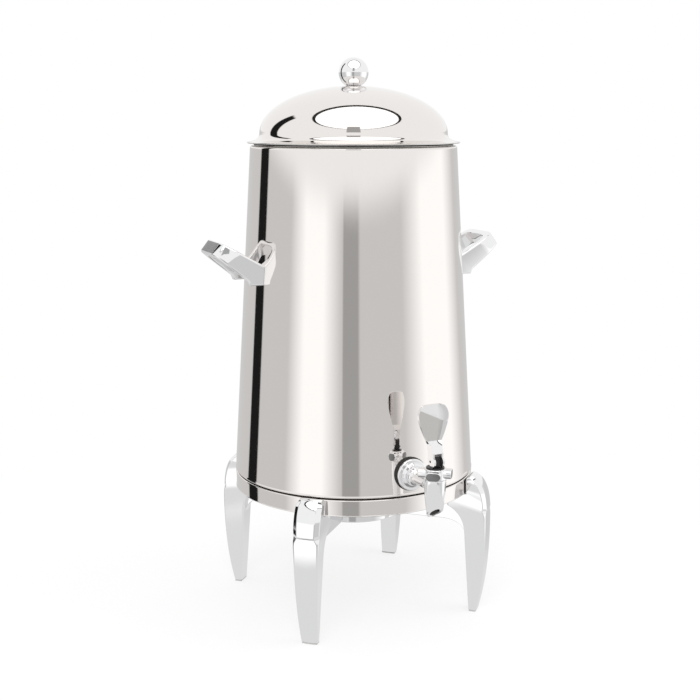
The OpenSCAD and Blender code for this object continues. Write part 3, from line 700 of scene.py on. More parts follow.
class URN_OT_base(UrnOperator):
    """Turns the base band and the seal above it"""
    bl_idname = "urn.base_band"
    bl_label = "Base band"

    def make(self):
        body = sizes("urn_body")
        base_r = body.base_r
        wall, lip = 1.5, 0.8
        flange_low, flange_top = base_r - 10, base_r - 6
        lip_x, lip_z = base_r - 0.5, BAND_Z + lip
        band = [(flange_low, BAND_Z), (lip_x - 0.5, BAND_Z)]
        band += arc(lip_x, lip_z, lip, -90, 51, 6)
        band += [(base_r, BAND_Z + 2.2), (base_r, BAND_TOP_Z - 2.1)]
        band += arc(base_r - wall, BAND_TOP_Z - wall, wall, 0, 90, 6)
        band += [(base_r - 2.1, BAND_TOP_Z), (flange_top, BAND_TOP_Z), (flange_top, BAND_TOP_Z - wall),
                 (base_r - wall, BAND_TOP_Z - wall), (base_r - wall, BAND_Z + wall),
                 (flange_low, BAND_Z + wall)]
        seat(turned_piece("band_wall", band, body.steps, "mirror"), "base_band")
        seal_r = base_r - 3
        seal = [(flange_top, BAND_TOP_Z, 0), (seal_r, BAND_TOP_Z, 0.4), (seal_r, SEAM_Z, 0.4),
                (flange_top, SEAM_Z, 0)]
        seat(turned_piece("seal_ring", rounded(seal, closed=True, guard=0.1), 128, "rubber"), "base_seal")


class URN_OT_lid(UrnOperator):
    """Turns the domed lid, its pan, gasket and ball knob"""
    bl_idname = "urn.lid"
    bl_label = "Lid"

    def make(self):
        lid = sizes("urn_lid")
        steps = sizes("urn_body").steps
        foot_z = BRIM_Z + lid.flare_h
        rise = APEX_Z - foot_z

        def dome(inset, start, end, n):
            """Arc of the dome, set in by a distance, between two angles from level."""
            return [((lid.dome_r - inset) * max(math.cos(a), 0), foot_z + (rise - inset) * math.sin(a))
                    for a in sweep(start, end, n)]

        lip = 0.3
        edge = arc(BRIM_R - lip, BRIM_Z + lip, lip, -90, 90, 6)
        flare_out = curve((BRIM_R - 0.6, BRIM_Z + 0.62), (lid.dome_r + 1, BRIM_Z + 2.2),
                          (lid.dome_r, foot_z), 14)
        flare_in = curve((lid.dome_r - lid.sheet, foot_z), (lid.dome_r, BRIM_Z + 1.2), (BRIM_R - 3, BRIM_Z), 8)
        outline = edge + flare_out + dome(0, 3, 90, 44) + dome(lid.sheet, 90, 4, 20) + flare_in
        seat(turned_piece("lid_cover", outline[::-1], steps, "mirror"), "lid_dome")

        plug_z = low("lid_pan")
        pan_r = high("lid_pan", 0)
        pan = [(0, plug_z, 0), (lid.plug_r, plug_z, 4), (lid.plug_r, BRIM_Z - lid.sheet, 0.2),
               (pan_r, BRIM_Z - lid.sheet, 0.3), (pan_r, BRIM_Z, 0.3), (lid.plug_r - 1, BRIM_Z, 0.5),
               (lid.plug_r - 1, plug_z + 1, 3), (0, plug_z + 1, 0)]
        underside = turned_piece("lid_underside", rounded(pan, guard=0.6), steps, "rolled", closed=False)
        seat(underside, "lid_pan")

        ring_z, ring_top = low("lid_gasket"), high("lid_gasket")
        ring_in, ring_out = lid.plug_r + 0.1, high("lid_gasket", 0)
        ring = [(ring_in, ring_z, 0.2), (ring_out, ring_z, 0.4), (ring_out, ring_top, 0.2),
                (ring_in, ring_top, 0)]
        seat(turned_piece("lid_seal", rounded(ring, closed=True, guard=0.1), 128, "rubber"), "lid_gasket")

        ball_z = high("lid_knob") - lid.knob_r
        neck_z = low("lid_knob")
        meet = math.degrees(math.asin(lid.neck_r / lid.knob_r))
        throat = math.radians(meet + 5)
        throat_r, throat_z = lid.knob_r * math.sin(throat), ball_z - lid.knob_r * math.cos(throat)
        knob = [(0, neck_z), (lid.neck_r + 0.9, neck_z), (lid.neck_r + 0.5, neck_z + 0.35)]
        knob += curve((lid.neck_r + 0.3, neck_z + 0.6), (lid.neck_r - 0.3, throat_z - 0.2),
                      (throat_r, throat_z), 6)
        knob += [(lid.knob_r * math.sin(a), ball_z - lid.knob_r * math.cos(a))
                 for a in sweep(meet + 7, 180, 40)][:-1]
        knob += [(0, ball_z + lid.knob_r)]
        seat(turned_piece("ball_knob", knob, 96, "chrome", closed=False, crease=50), "lid_knob")


# ---- operators: castings ----

def loft(name, stations, edge, crease=30, capped=True):
    """Casting through rings of points in millimetres, with its creases rounded."""
    piece = plain_mesh(name, *skin(stations, capped))
    outward(piece, crease)
    if edge:
        rounded_edges(piece, edge)
    return piece


class URN_OT_handles(UrnOperator):
    """Lofts the two cast loop handles"""
    bl_idname = "urn.handles"
    bl_label = "Handles"

    def make(self):
        form = sizes("urn_handles")
        rise = math.radians(form.slope)
        for node, turn in (("handle_right", 0), ("handle_left", 180)):
            spin = turned_by(turn + form.turn)
            end_way = spin @ Vector((math.cos(rise), 0, math.sin(rise)))
            # the grip's end faces take the satin chrome, whose dark grey is painted shade
            seat(moved(self.loop(node + "_casting"), spin), node, other="satin",
                 where=lambda centre, normal, way=end_way: normal.dot(way) > FACING)

    def loop(self, name):
        """One loop that points along +X, as a soft-edged bar that follows the U of the handle.

        u runs along the arm from its root's lower corner, t across the loop from its middle.
        """
        form = sizes("urn_handles")
        rise = math.radians(form.slope)
        along = Vector((math.cos(rise), math.sin(rise)))
        up = Vector((-along.y, along.x))
        root_z = low("handle_right")
        corner = Vector((148.5, root_z + 5.2))

        def low_rail(u):
            """Lower edge of the arm."""
            return corner + along * u

        def high_rail(u):
            """Upper edge of the arm, which closes in on the lower one towards the grip."""
            return low_rail(u) + up * (form.root_h + (form.tip_h - form.root_h) * u / form.reach)

        def on_shell(rail, t):
            """Where a rail meets the shell's wall, at a side offset t."""
            u, step = -20.0, 0.05
            while rail(u).x < wall_x(rail(u).y, t):
                u += step
            return rail(u)

        def wall_x(z, t):
            """How far out the shell's wall stands at a height and a side offset."""
            return on_round(shell_r(z) + 0.1, t)

        def station(points, sides):
            """Ring of the bar through four points at their side offsets."""
            return self.soft([Vector((p.x, t, p.y)) for p, t in zip(points, sides)], form.edge)

        outer, inner = form.half_w, form.half_w - form.arm_t
        sides = (outer, outer, inner, inner)
        feet = [Vector((wall_x(root_z, t), root_z)) for t in (outer, inner)]
        half = [station((feet[0], on_shell(high_rail, outer), on_shell(high_rail, inner), feet[1]), sides)]
        for low_point, u in ((Vector((corner.x - 2, root_z)), 1.5), (low_rail(0), 4.5)):
            half.append(station((low_point, high_rail(u), high_rail(u), low_point), sides))
        end = form.reach
        # where the bar's outer and inner sides run, as (u, t), from the arm to the middle of the grip
        bends = (((16, 36), (16, 26.5)), ((27, 36), (26, 26.5)), ((31.5, 35.9), (30.5, 26.3)),
                 ((34.5, 35.3), (33.5, 25.8)), ((44, 32.6), (39.5, 23.5)), ((end - 5.2, 30.8), (42.2, 20.6)),
                 ((end - 3.6, 29.8), (43.0, 18.5)), ((end - 2.8, 28.5), (43.4, 17)),
                 ((end - 2.3, 27.4), (43.8, 15.5)), ((end - 0.45, 22.9), (44.1, 13)),
                 ((end - 0.15, 21.9), (44.3, 11)), ((end, 20.4), (44.4, 9)), ((end, 10), (44.5, 5.5)),
                 ((end, 0), (44.5, 0)))
        for (u_out, t_out), (u_in, t_in) in bends:
            points = (low_rail(u_out), high_rail(u_out), high_rail(u_in), low_rail(u_in))
            half.append(station(points, (t_out, t_out, t_in, t_in)))
        other = [[(x, -y, z) for x, y, z in ring] for ring in reversed(half[:-1])]
        return loft(name, half + other, 0, crease=60)

    def soft(self, corners, radius, n=4):
        """Ring through corners in space, with each corner rounded off."""
        ring = []
        for i, here in enumerate(corners):
            before, after = corners[i - 1] - here, corners[(i + 1) % len(corners)] - here
            a = here + before * min(radius / before.length, 0.45)
            b = here + after * min(radius / after.length, 0.45)
            ring += curve(a, here, b, n)
        return ring


class URN_OT_stand(UrnOperator):
    """Lofts the four cast legs with their arms and turns the hub that joins them"""
    bl_idname = "urn.stand"
    bl_label = "Stand"

    def make(self):
        stand = sizes("urn_stand")
        for node, turn in LEG_TURNS.items():
            seat(moved(self.leg(node + "_casting"), turned_by(turn)), node)
        top, soft = high("stand_hub"), 0.8
        hub_in = stand.hub_r - stand.hub_t
        hub = [(hub_in, HUB_Z, soft), (stand.hub_r, HUB_Z, soft), (stand.hub_r, top, soft), (hub_in, top, soft)]
        seat(turned_piece("hub_ring", rounded(hub, closed=True), 128, "chrome"), "stand_hub")

    def half_width(self, z):
        """Half the width of a leg at a height: it widens on a curve up to 150 mm and narrows at its top."""
        stand = sizes("urn_stand")
        foot, head = stand.foot_w / 2, stand.leg_w / 2
        top_part = 6
        past_top = z - high("leg_front_left") + top_part
        t = min((math.sqrt(120 ** 2 + 120 * max(z, 0)) - 120) / 60, 1.0)
        width = (1 - t) ** 2 * foot + 2 * t * (1 - t) * (head - 2) + t * t * head
        if past_top > 0:
            width -= 3 * past_top / 7
        return width

    def leg(self, name):
        """One leg that points along +X: foot, knee, head over the band, shelf under it, and its arm."""
        stand = sizes("urn_stand")
        base_r = sizes("urn_body").base_r
        foot_r, knee_z, head_z = base_r + 15.5, BAND_Z - 27, high("leg_front_left")
        seat_r, shelf_r, shelf_z = base_r + 0.4, base_r - 23, BAND_Z - 0.1
        foot_z, arch = 1.5, (base_r - 0.8, BAND_Z - 52)
        outer_low = curve((foot_r, foot_z), (stand.knee_r + 1.5, 50), (stand.knee_r, knee_z), 40)
        outer_high = curve((stand.knee_r, knee_z), (stand.knee_r, head_z - 9.5), (base_r + 9, head_z), 40)
        inner_low = curve((foot_r - 10, foot_z), (base_r + 1.5, 60), arch, 30)
        inner_arch = curve(arch, (base_r - 2, BAND_Z - 27), (shelf_r, BAND_Z - 17), 16)
        # the outside and the inside of the leg, level by level from the foot to the top of the head
        pairs = [(outer_low[i], inner_low[i * 30 // 32]) for i in range(0, 33, 2)]
        pairs += [(outer_low[32 + i // 2], inner_arch[i]) for i in range(2, 17, 2)]
        pairs += [(outer_high[3 + i], (shelf_r, shelf_z - drop)) for i, drop in enumerate((9, 6, 0))]
        pairs += [(outer_high[6], (seat_r, shelf_z))]
        pairs += [(outer_high[i], (seat_r, shelf_z + (head_z - 5 - shelf_z) * (i - 6) / 34))
                  for i in range(9, 41, 2)]
        pairs += [((base_r + 6.5, head_z), (seat_r, head_z - 4.2)),
                  ((base_r + 4, head_z - 0.5), (seat_r + 0.6, head_z - 2.6))]
        pad_z = outer_high[3][1] + 0.1
        crown = 0.7
        rings = []
        for out, inn in pairs:
            out, inn = Vector(out), Vector(inn)
            way = (inn - out).normalized()
            if out.y > pad_z:
                out = out - way * stand.pad
            depth = (inn - out).length
            w_out, w_in = self.half_width(out.y), self.half_width(inn.y) - min(0.09 * depth, 2.2)
            widening = clamp((out.y - BAND_Z + 29) / 9)
            facet = min(1.5 + 4 * widening ** 2 * (3 - 2 * widening), depth / 3, w_out / 2)
            inset = min(1.4, depth / 4)
            edge, back = out + way * (crown + 0.8 * facet), inn - way * inset
            ring = [(out + way * crown * f ** 2, (w_out - facet) * f) for f in (-1, -0.5, 0, 0.5, 1)]
            ring += [(edge, w_out), (back, w_in), (inn, w_in - inset), (inn, inset - w_in), (back, -w_in),
                     (edge, -w_out)]
            rings.append([(p.x, t, p.y) for p, t in ring])
        body = loft(name + "_leg", rings, stand.edge, crease=25)
        return joined(name, [body, self.arm(name + "_arm")])

    def arm(self, name):
        """The flat arm that runs in from a leg to the hub."""
        stand = sizes("urn_stand")
        base_r = sizes("urn_body").base_r
        hub_at, flange_at = stand.hub_r + 0.15, base_r - 10.6
        plate_z = high("stand_hub")
        outline = [(hub_at, HUB_Z)]
        outline += curve((base_r - 28.5, HUB_Z), (base_r - 4, HUB_Z - 1.5), (base_r - 0.5, HUB_Z - 20))
        outline += [(base_r + 1.5, HUB_Z - 10), (base_r + 1.5, BAND_Z - 6), (flange_at, BAND_Z - 0.1),
                    (flange_at, plate_z), (hub_at, plate_z)]
        half = stand.web_t / 2
        rings = [[(x, side * half, z) for x, z in outline] for side in (-1, 1)]
        return loft(name, rings, stand.edge, crease=20)


# ---- operators: the faucet ----

def about_outlet(piece):
    """Lays a piece that is turned about Z along the outlet: its z becomes the distance along -Y."""
    return moved(piece, Matrix.Translation((0, 0, OUTLET_Z * MM)) @ turned_by(90, "X"))


def at_barrel(piece):
    """Moves a piece that is turned about Z to the barrel's axis."""
    return moved(piece, Matrix.Translation((0, BARREL_Y * MM, 0)))


class URN_OT_outlet(UrnOperator):
    """Turns the gasket and the flange nut that hold the faucet on the body"""
    bl_idname = "urn.outlet"
    bl_label = "Outlet"

    def make(self):
        faucet = sizes("urn_faucet")
        nut_r, hole = faucet.nut_r, 7.0
        wall = shell_r(OUTLET_Z)
        face = -high("flange_nut", 1)
        front = -low("flange_nut", 1)
        ring = rounded([(hole, wall, 0), (nut_r + 0.9, wall, 0), (nut_r + 0.9, face, 0.6), (hole, face, 0)],
                       closed=True, guard=0.2)
        gasket = about_outlet(turned_piece("outlet_seal", ring, 96, "rubber"))
        for vertex in gasket.data.vertices:
            x, y, z = (c / MM for c in vertex.co)
            if -y < wall + 0.3:
                vertex.co.y = -on_round(shell_r(z) + 0.1, x) * MM
        seat(gasket, "outlet_gasket")
        nut = [(hole, face, 0), (nut_r, face, 0.2), (nut_r, face + 4.0, 1.6), (nut_r - 4.2, face + 4.4, 0.5),
               (nut_r - 5.0, face + 6.4, 0.6), (nut_r - 7.0, front, 0.4), (hole, front, 0)]
        nut = turned_piece("round_nut", rounded(nut, closed=True, guard=0.15), 96, "chrome", crease=30)
        seat(about_outlet(nut), "flange_nut")


class URN_OT_faucet(UrnOperator):
    """Makes the faucet's body, its lobed bonnet and the black disc on it"""
    bl_idname = "urn.faucet"
    bl_label = "Faucet"

    def make(self):
        faucet = sizes("urn_faucet")

        def in_bore(centre, normal):
            """Whether a face lies in the spout's bore."""
            return math.hypot(centre.x, centre.y - BARREL_Y) < faucet.bore_r + 0.1

        def on_lobe_end(centre, normal):
            """Whether a face is the end of a lobe and looks straight away from the barrel's axis."""
            away = Vector((centre.x, centre.y - BARREL_Y, 0))
            return (away.length > faucet.lobe_reach - 1.2 and abs(normal.z) < 0.05
                    and centre.z < BONNET_TOP_Z - 2 and normal.dot(away.normalized()) > 0.97)

        # the faces in the bore take a dark colour: painted shade in the spout's bore
        seat(self.casting(), "faucet_body", other="bore", where=in_bore)
        # the lobes' end faces take the satin chrome, whose dark grey is painted shade
        seat(self.bonnet(), "bonnet", other="satin", where=on_lobe_end)
        top, disc_r = high("stem_seal"), 10.4
        disc = [(STEM_HOLE_R, BONNET_TOP_Z, 0), (disc_r, BONNET_TOP_Z, 0.3), (disc_r, top, 0.5),
                (STEM_HOLE_R, top, 0.1)]
        disc = turned_piece("stem_disc", rounded(disc, closed=True, guard=0.1), 64, "acetal")
        seat(at_barrel(disc), "stem_seal")

    def casting(self):
        """Barrel with its sloping mouth, in one casting with the shank."""
        faucet = sizes("urn_faucet")
        spout_z = low("faucet_body")
        top_z = BARREL_TOP_Z
        chamber_r = faucet.barrel_r - 3.8
        seat_z = OUTLET_Z - 8
        slope = math.tan(math.radians(faucet.mouth_slope))
        level = seat_z - 9

        def outer_r(theta, z):
            """Outside of the barrel: four soft flats that follow the bonnet's lobes."""
            up = clamp((z - spout_z) / (top_z - 2 - spout_z))
            flat = faucet.spout_r - 0.2 + (faucet.barrel_r - faucet.spout_r - 0.8) * up ** 0.85
            soft = 4.5 + (faucet.barrel_r - 9) * max(up - 0.6, 0) / 0.4
            turned = math.radians((math.degrees(theta) + 90 - faucet.lobe_turn + 45) % 90 - 45)
            cosine, sine = math.cos(turned), abs(math.sin(turned))
            if sine * flat <= cosine * (flat - soft):
                return flat / cosine
            centre = flat - soft
            return centre * (cosine + sine) + math.sqrt(soft ** 2 - (centre * (cosine - sine)) ** 2)

        def mouth(theta, radius):
            """Height of the sloping mouth at an angle and a radius."""
            return spout_z + max(faucet.spout_r - radius * math.sin(theta), 0) * slope

        angles = circle(96)
        rings = []
        for up in (0.0, 0.04, 0.2, 0.4, 0.6, 0.8, 1.0):
            bases = [mouth(a, outer_r(a, spout_z + 4)) + 0.35 for a in angles]
            heights = [base + (level - base) * up for base in bases]
            rings.append([spot(outer_r(a, z), a, z) for a, z in zip(angles, heights)])
        for z in (level + 6, level + 14, top_z - 5, top_z - 2.4, top_z - 1.2, top_z - 0.4):
            rings.append([spot(outer_r(a, z) - max(z - top_z + 2, 0) ** 2 * 0.12, a, z) for a in angles])
        for radius, z in ((faucet.barrel_r - 0.9, top_z), (chamber_r + 0.3, top_z), (chamber_r, top_z - 0.3),
                          (chamber_r, top_z - 1), (chamber_r, seat_z + 0.3), (chamber_r - 0.2, seat_z),
                          (faucet.bore_r + 0.2, seat_z), (faucet.bore_r, seat_z - 0.3), (faucet.bore_r, level)):
            rings.append([spot(radius, a, z) for a in angles])
        for radius, lift in ((faucet.bore_r, 0.8), (faucet.bore_r, 0.3), (faucet.bore_r + 0.3, 0.0)):
            rings.append([spot(radius, a, mouth(a, radius) + lift) for a in angles])
        edge = [outer_r(a, mouth(a, faucet.spout_r)) - 0.3 for a in angles]
        rings.append([spot(r, a, mouth(a, r)) for a, r in zip(angles, edge)])
        barrel = at_barrel(outward(plain_mesh("barrel", *skin(rings + [rings[0]], capped=False)), 40))

        front = -low("flange_nut", 1)
        end = -high("faucet_body", 1)
        axis_at = -BARREL_Y
        bore, thread_r, collar_r, neck_r = 4.5, 6.9, 11, 7.6
        inside = axis_at - 7.6
        shank = [(bore, end), (thread_r - 0.3, end), (thread_r, end + 0.4), (thread_r, front - 0.6),
                 (thread_r, front)]
        shank += [(collar_r - 0.6, front)] + [(collar_r, front + x) for x in (0.6, 1.0, 3.0)]
        shank += curve((collar_r - 0.1, front + 3.6), (8, front + 4.5), (neck_r, front + 11), 8)
        side = axis_at - faucet.barrel_r
        shank += curve((neck_r, side - 4), (7.8, side), (10, inside), 8)
        shank += [(bore, inside)]
        pipe = about_outlet(turned_piece("shank", shank, 72, "chrome", crease=30))
        return joined("faucet_casting", [barrel, pipe])

    def bonnet(self):
        """Cap of the barrel with four oval lobes."""
        faucet = sizes("urn_faucet")
        lobe_h = BONNET_TOP_Z - BARREL_TOP_Z - 2.2
        middle_z = BONNET_TOP_Z - 1 - lobe_h / 2
        drum_r = faucet.barrel_r - 0.2
        skirt_r, skirt_z, skirt_t = faucet.barrel_r - 3.9, BARREL_TOP_Z - 6, 1.4
        roof_z = BONNET_TOP_Z - 3
        drum = [(STEM_HOLE_R, roof_z, 0), (STEM_HOLE_R, BONNET_TOP_Z, 0.2), (drum_r - 0.6, BONNET_TOP_Z, 1.2),
                (drum_r, BARREL_TOP_Z, 0.3), (skirt_r, BARREL_TOP_Z, 0), (skirt_r, skirt_z, 0.2),
                (skirt_r - skirt_t, skirt_z, 0.2), (skirt_r - skirt_t, roof_z, 0)]
        cap = turned_piece("cap", rounded(drum, closed=True, guard=0.2), 96, "chrome")
        half_flat = (faucet.lobe_w - lobe_h) / 2
        radius = lobe_h / 2
        oval = arc(half_flat, 0, radius, -90, 90, 16)
        oval += [(-x, -z) for x, z in oval]
        # how far the rounded edge at a lobe's end stands back from the end, and in from the lobe's sides
        ends = ((0, 0.6), (0.1, 0.3), (0.35, 0.08), (0.7, 0))
        rings = []
        for x, inset in ([(back - faucet.lobe_reach, inset) for back, inset in ends]
                         + [(faucet.lobe_reach - back, inset) for back, inset in reversed(ends)]):
            slim, grow = 1 - inset / (half_flat + radius), 1 - inset / radius
            rings.append([(x, y * slim, middle_z + z * grow) for y, z in oval])
        for turn in (0, 90):
            bar = outward(plain_mesh("lobes", *skin(rings)), 40)
            cut(cap, moved(bar, turned_by(faucet.lobe_turn + turn)), "UNION")
        outward(cap, 40)
        cap.name = "lobed_cap"
        return at_barrel(cap)


class URN_OT_spring(UrnOperator):
    """Winds the valve spring, with closed turns at both ends"""
    bl_idname = "urn.spring"
    bl_label = "Valve spring"

    def make(self):
        faucet = sizes("urn_faucet")
        wire, turns, per_turn = faucet.wire_r, 7, 32
        coil_r = high("faucet_spring", 0) - wire
        foot, top = low("faucet_spring") + wire, high("faucet_spring") - wire
        pitch = (top - foot - 4 * wire) / (turns - 2)
        rings = []
        for i in range(turns * per_turn + 1):
            turn = i / per_turn
            z = foot + 2 * wire * min(turn, 1) + pitch * min(max(turn - 1, 0), turns - 2)
            z += 2 * wire * max(turn - turns + 1, 0)
            rings.append([spot(coil_r + wire * math.cos(a), math.tau * turn, z + wire * math.sin(a))
                          for a in circle(12)])
        spring = at_barrel(outward(plain_mesh("valve_coil", *skin(rings)), 60))
        seat(spring, "faucet_spring")
        length = top - foot + 2 * wire
        1 - STEM_TRAVEL / length
        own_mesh(spring)


class URN_OT_lever(UrnOperator):
    """Makes the lever: fork, neck and dished paddle in one casting"""
    bl_idname = "urn.lever"
    bl_label = "Lever"

    def make(self):
        faucet = sizes("urn_faucet")
        cheek_in, cheek_out = 4.6, 6.8
        fork_h, neck_h, top_h = 10.0, 19.0, high("lever") - PIN_Z
        half_t, half_w = faucet.paddle_t / 2, faucet.paddle_w / 2
        lean = math.tan(math.radians(faucet.face_lean))
        # the flank from the neck up, round the paddle's shoulder and onto its top edge
        shoulder, corner = (half_w - 1.7, top_h - 18), (half_w - 5, top_h - 2.2)
        flank = curve((cheek_out, neck_h), (13.5, neck_h + 11), shoulder, 12)
        flank += curve(shoulder, (half_w + 1.2, top_h - 9), corner, 10)[1:]
        flank += curve(corner, (half_w - 8, top_h - 0.1), (half_w - 13, top_h), 6)[1:]
        rows = [(cheek_out, z) for z in (fork_h, fork_h + 2.5, fork_h + 5, neck_h - 1)] + flank

        def middle(z):
            """Middle of the lever's thickness at a height, and how far it has thinned out to the paddle."""
            thinned = clamp((z - neck_h + 1) / 4.5)
            return 2.6 * clamp((z - fork_h) / 7) + 2.4 * thinned + lean * max(z - neck_h, 0), thinned

        neck_half_t = 6
        across = (-1, -0.676, -0.3, 0.3, 0.676, 1)
        rings = []
        for width, z in rows:
            at, thinned = middle(z)
            thick = neck_half_t * (1 - thinned) + half_t * thinned
            front = [(width * f, at - thick - (0.9 * thinned if f == 1 else 0), z) for f in across]
            rings.append(front + [(width * f, at + thick, z) for f in reversed(across)])
        verts, faces = skin(rings, capped=False)
        faces.append(tuple(range(len(verts) - 2 * len(across), len(verts))))
        faces.append((1, 10, 9, 8, 7, 4, 3, 2))  # roof of the fork, between the cheeks
        foot = [(-6, 5.45)] + arc(-3.5, 0, 6, 122, 311, 18) + [(4, -3.5), (6, 0)]
        count = len(foot)
        for side, inner_pair, outer_pair in ((-1, (1, 10), (0, 11)), (1, (4, 7), (5, 6))):
            start = len(verts)
            verts += [(side * x, y, z) for x in (cheek_in, cheek_out) for y, z in foot]
            faces += [(start + k, start + k + 1, start + count + k + 1, start + count + k)
                      for k in range(count - 1)]
            for (front, back), first in ((inner_pair, start), (outer_pair, start + count)):
                faces.append((front, *range(first, first + count), back))
            faces += [(inner_pair[k], outer_pair[k], start + count + k * (count - 1), start + k * (count - 1))
                      for k in (0, 1)]
        lever = outward(plain_mesh("lever_casting", verts, faces), 30)
        fold_turn = math.radians(faucet.fold_turn)
        fold = Vector((math.sin(fold_turn), 0, math.cos(fold_turn)))
        line = Vector((0, 0, top_h - faucet.fold_drop))
        work = bmesh.new()
        work.from_mesh(lever.data)
        bmesh.ops.bisect_plane(work, geom=work.verts[:] + work.edges[:] + work.faces[:],
                               plane_co=line * MM, plane_no=fold, dist=WELD)
        bend = math.tan(math.radians(faucet.fold_bend))
        for vertex in work.verts:
            above = (vertex.co / MM - line).dot(fold)
            if above > 0 and vertex.co.y / MM < middle(vertex.co.z / MM)[0]:
                vertex.co.y += min(bend * above, faucet.paddle_t * 0.62) * MM
        work.to_mesh(lever.data)
        work.free()
        rounded_edges(lever, 0.7)
        pin = Vector((0, BARREL_Y, PIN_Z))

        def on_thumb_face(centre, normal):
            """Whether a face is part of the paddle's front, under the fold."""
            return (normal.y < -FACING and (centre - line - pin).dot(fold) < 0
                    and centre.z > PIN_Z + neck_h + 4)

        # the paddle's front under the fold takes a greyer chrome: painted shade
        seat(moved(lever, Matrix.Translation(pin * MM)), "lever", other="thumb", where=on_thumb_face)


# ---- operators: fasteners and kept pieces ----

def hexagonal(name, radius, levels):
    """Hexagonal prism through a scale and a height at each level."""
    return plain_mesh(name, *skin([[spot(radius * grow, a, z) for a in circle(6)] for grow, z in levels]))


def screw(name, rod_r, rod_len, head_r, head_h, hex_r=0.0, hex_h=0.0):
    """Screw along +X with its head's underside at the origin and its head towards -X."""
    outline = [(0, -rod_len, 0), (rod_r - 0.5, -rod_len, 0), (rod_r, -rod_len + 0.6, 0.1), (rod_r, 0, 0.1),
               (head_r, 0, 0.2), (head_r, head_h, 0.7), (0, head_h, 0)]
    piece = turned_piece(name, rounded(outline, guard=0.1), 32, "fastener", closed=False)
    if hex_r:
        cut(piece, outward(hexagonal("socket", hex_r, ((1, head_h - hex_h), (1, head_h + 1)))))
        outward(piece)
    return moved(piece, turned_by(-90, "Y"))


class URN_OT_fasteners(UrnOperator):
    """Copies the screws and nuts round the stand and the base"""
    bl_idname = "urn.fasteners"
    bl_label = "Fasteners"

    def make(self):
        stand = sizes("urn_stand")
        between_legs, under_legs = 0.0, math.pi / 4
        head_at = stand.hub_r - stand.hub_t - 0.4
        row_z, top_row_z = low("hub_screws") + 5, high("hub_screws") - 5
        hub = screw("hub_bolts", 3, 29, 5, 5, 2.8, 2.6)
        self.ring(hub, "hub_screws", head_at, row_z, under_legs, 2, top_row_z - row_z)
        plate = moved(screw("plate_bolts", 2.5, 17, 4.5, 3), turned_by(90, "Y"))
        self.ring(plate, "plate_screws", stand.hub_r - stand.hub_t / 2, high("base_plate"), between_legs)
        head = screw("band_bolts", 2.5, 13.5, 4.5, 3)
        self.ring(head, "head_screws", sizes("urn_body").base_r - 2.5, (BAND_Z + BAND_TOP_Z) / 2, under_legs)
        base, nut_at = low("tie_nuts") - low("base_plate"), 108
        nut = hexagonal("base_nuts", 5.8, ((0.93, base), (1, base + 0.6), (1, -0.6), (0.93, 0)))
        self.ring(outward(nut, 20), "tie_nuts", nut_at, low("base_plate"), between_legs)

    def ring(self, piece, node, radius, level, first, levels=1, step=0.0):
        """Copies a piece four times round the axis, with its own X pointing outwards."""
        grown(piece, circle_tree(), {
            "Count": 4, "Radius": radius * MM, "First Angle": first, "Levels": levels,
            "Level Step": step * MM, "Material": finish("fastener")})
        moved(piece, Matrix.Translation((0, 0, level * MM)))
        outward(piece)
        seat(piece, node)


KEPT_NODES = (
    "shell_bottom", "vacuum_cap", "base_plate", "tie_studs", "tie_spacers", "lid_insulation", "knob_screw",
    "knob_washer", "handle_studs", "handle_set_screws", "outlet_tube", "inner_washer", "inner_nut",
    "valve_stem", "seat_cup", "lever_pin", "foot_glides",
)


class URN_OT_kept(UrnOperator):
    """Gives the CAD pieces whose shape stays their finishes"""
    bl_idname = "urn.kept"
    bl_label = "Kept pieces"

    def make(self):
        for node in KEPT_NODES:
            refinish(node)


# ---- the stage ----

# The studio round the urn: walls of one grey with four plain neutral cards on them. Each card is given by
# the degrees round from the camera to its right where it starts and ends, how many degrees its edges take
# to fade into the wall, and its brightness
WALL_GREY = 0.5
CARDS = (
    (-120, -105, 1, 0.01),  # black flag
    (-50, -30, 18, 0.9),  # left softbox
    (-10, 5, 1, 0.3),  # grey card by the camera
    (75, 110, 25, 0.9),  # right softbox
)
CEILING_GREY = 0.75
FLOOR_GREY = 0.6
UNDER_GREY = 0.2
WALL_STRENGTH = 1.3
# Where each part of the studio gives way to the next, as the sine of the angle above level at both ends
CEILING_EDGE = (0.04, 0.08)
FLAG_TOP_EDGE = (0.7, 0.74)
FLOOR_EDGE = (-0.35, -0.42)
UNDER_EDGE = (-0.8, -0.92)
# The two lamps: where they stand and how wide they are in metres, and their power in watts
LAMPS = {"key_lamp": ((-1.6, -2.2, 2.4), 1.8, 38), "fill_lamp": ((2.2, -1.4, 1.8), 1.8, 20)}


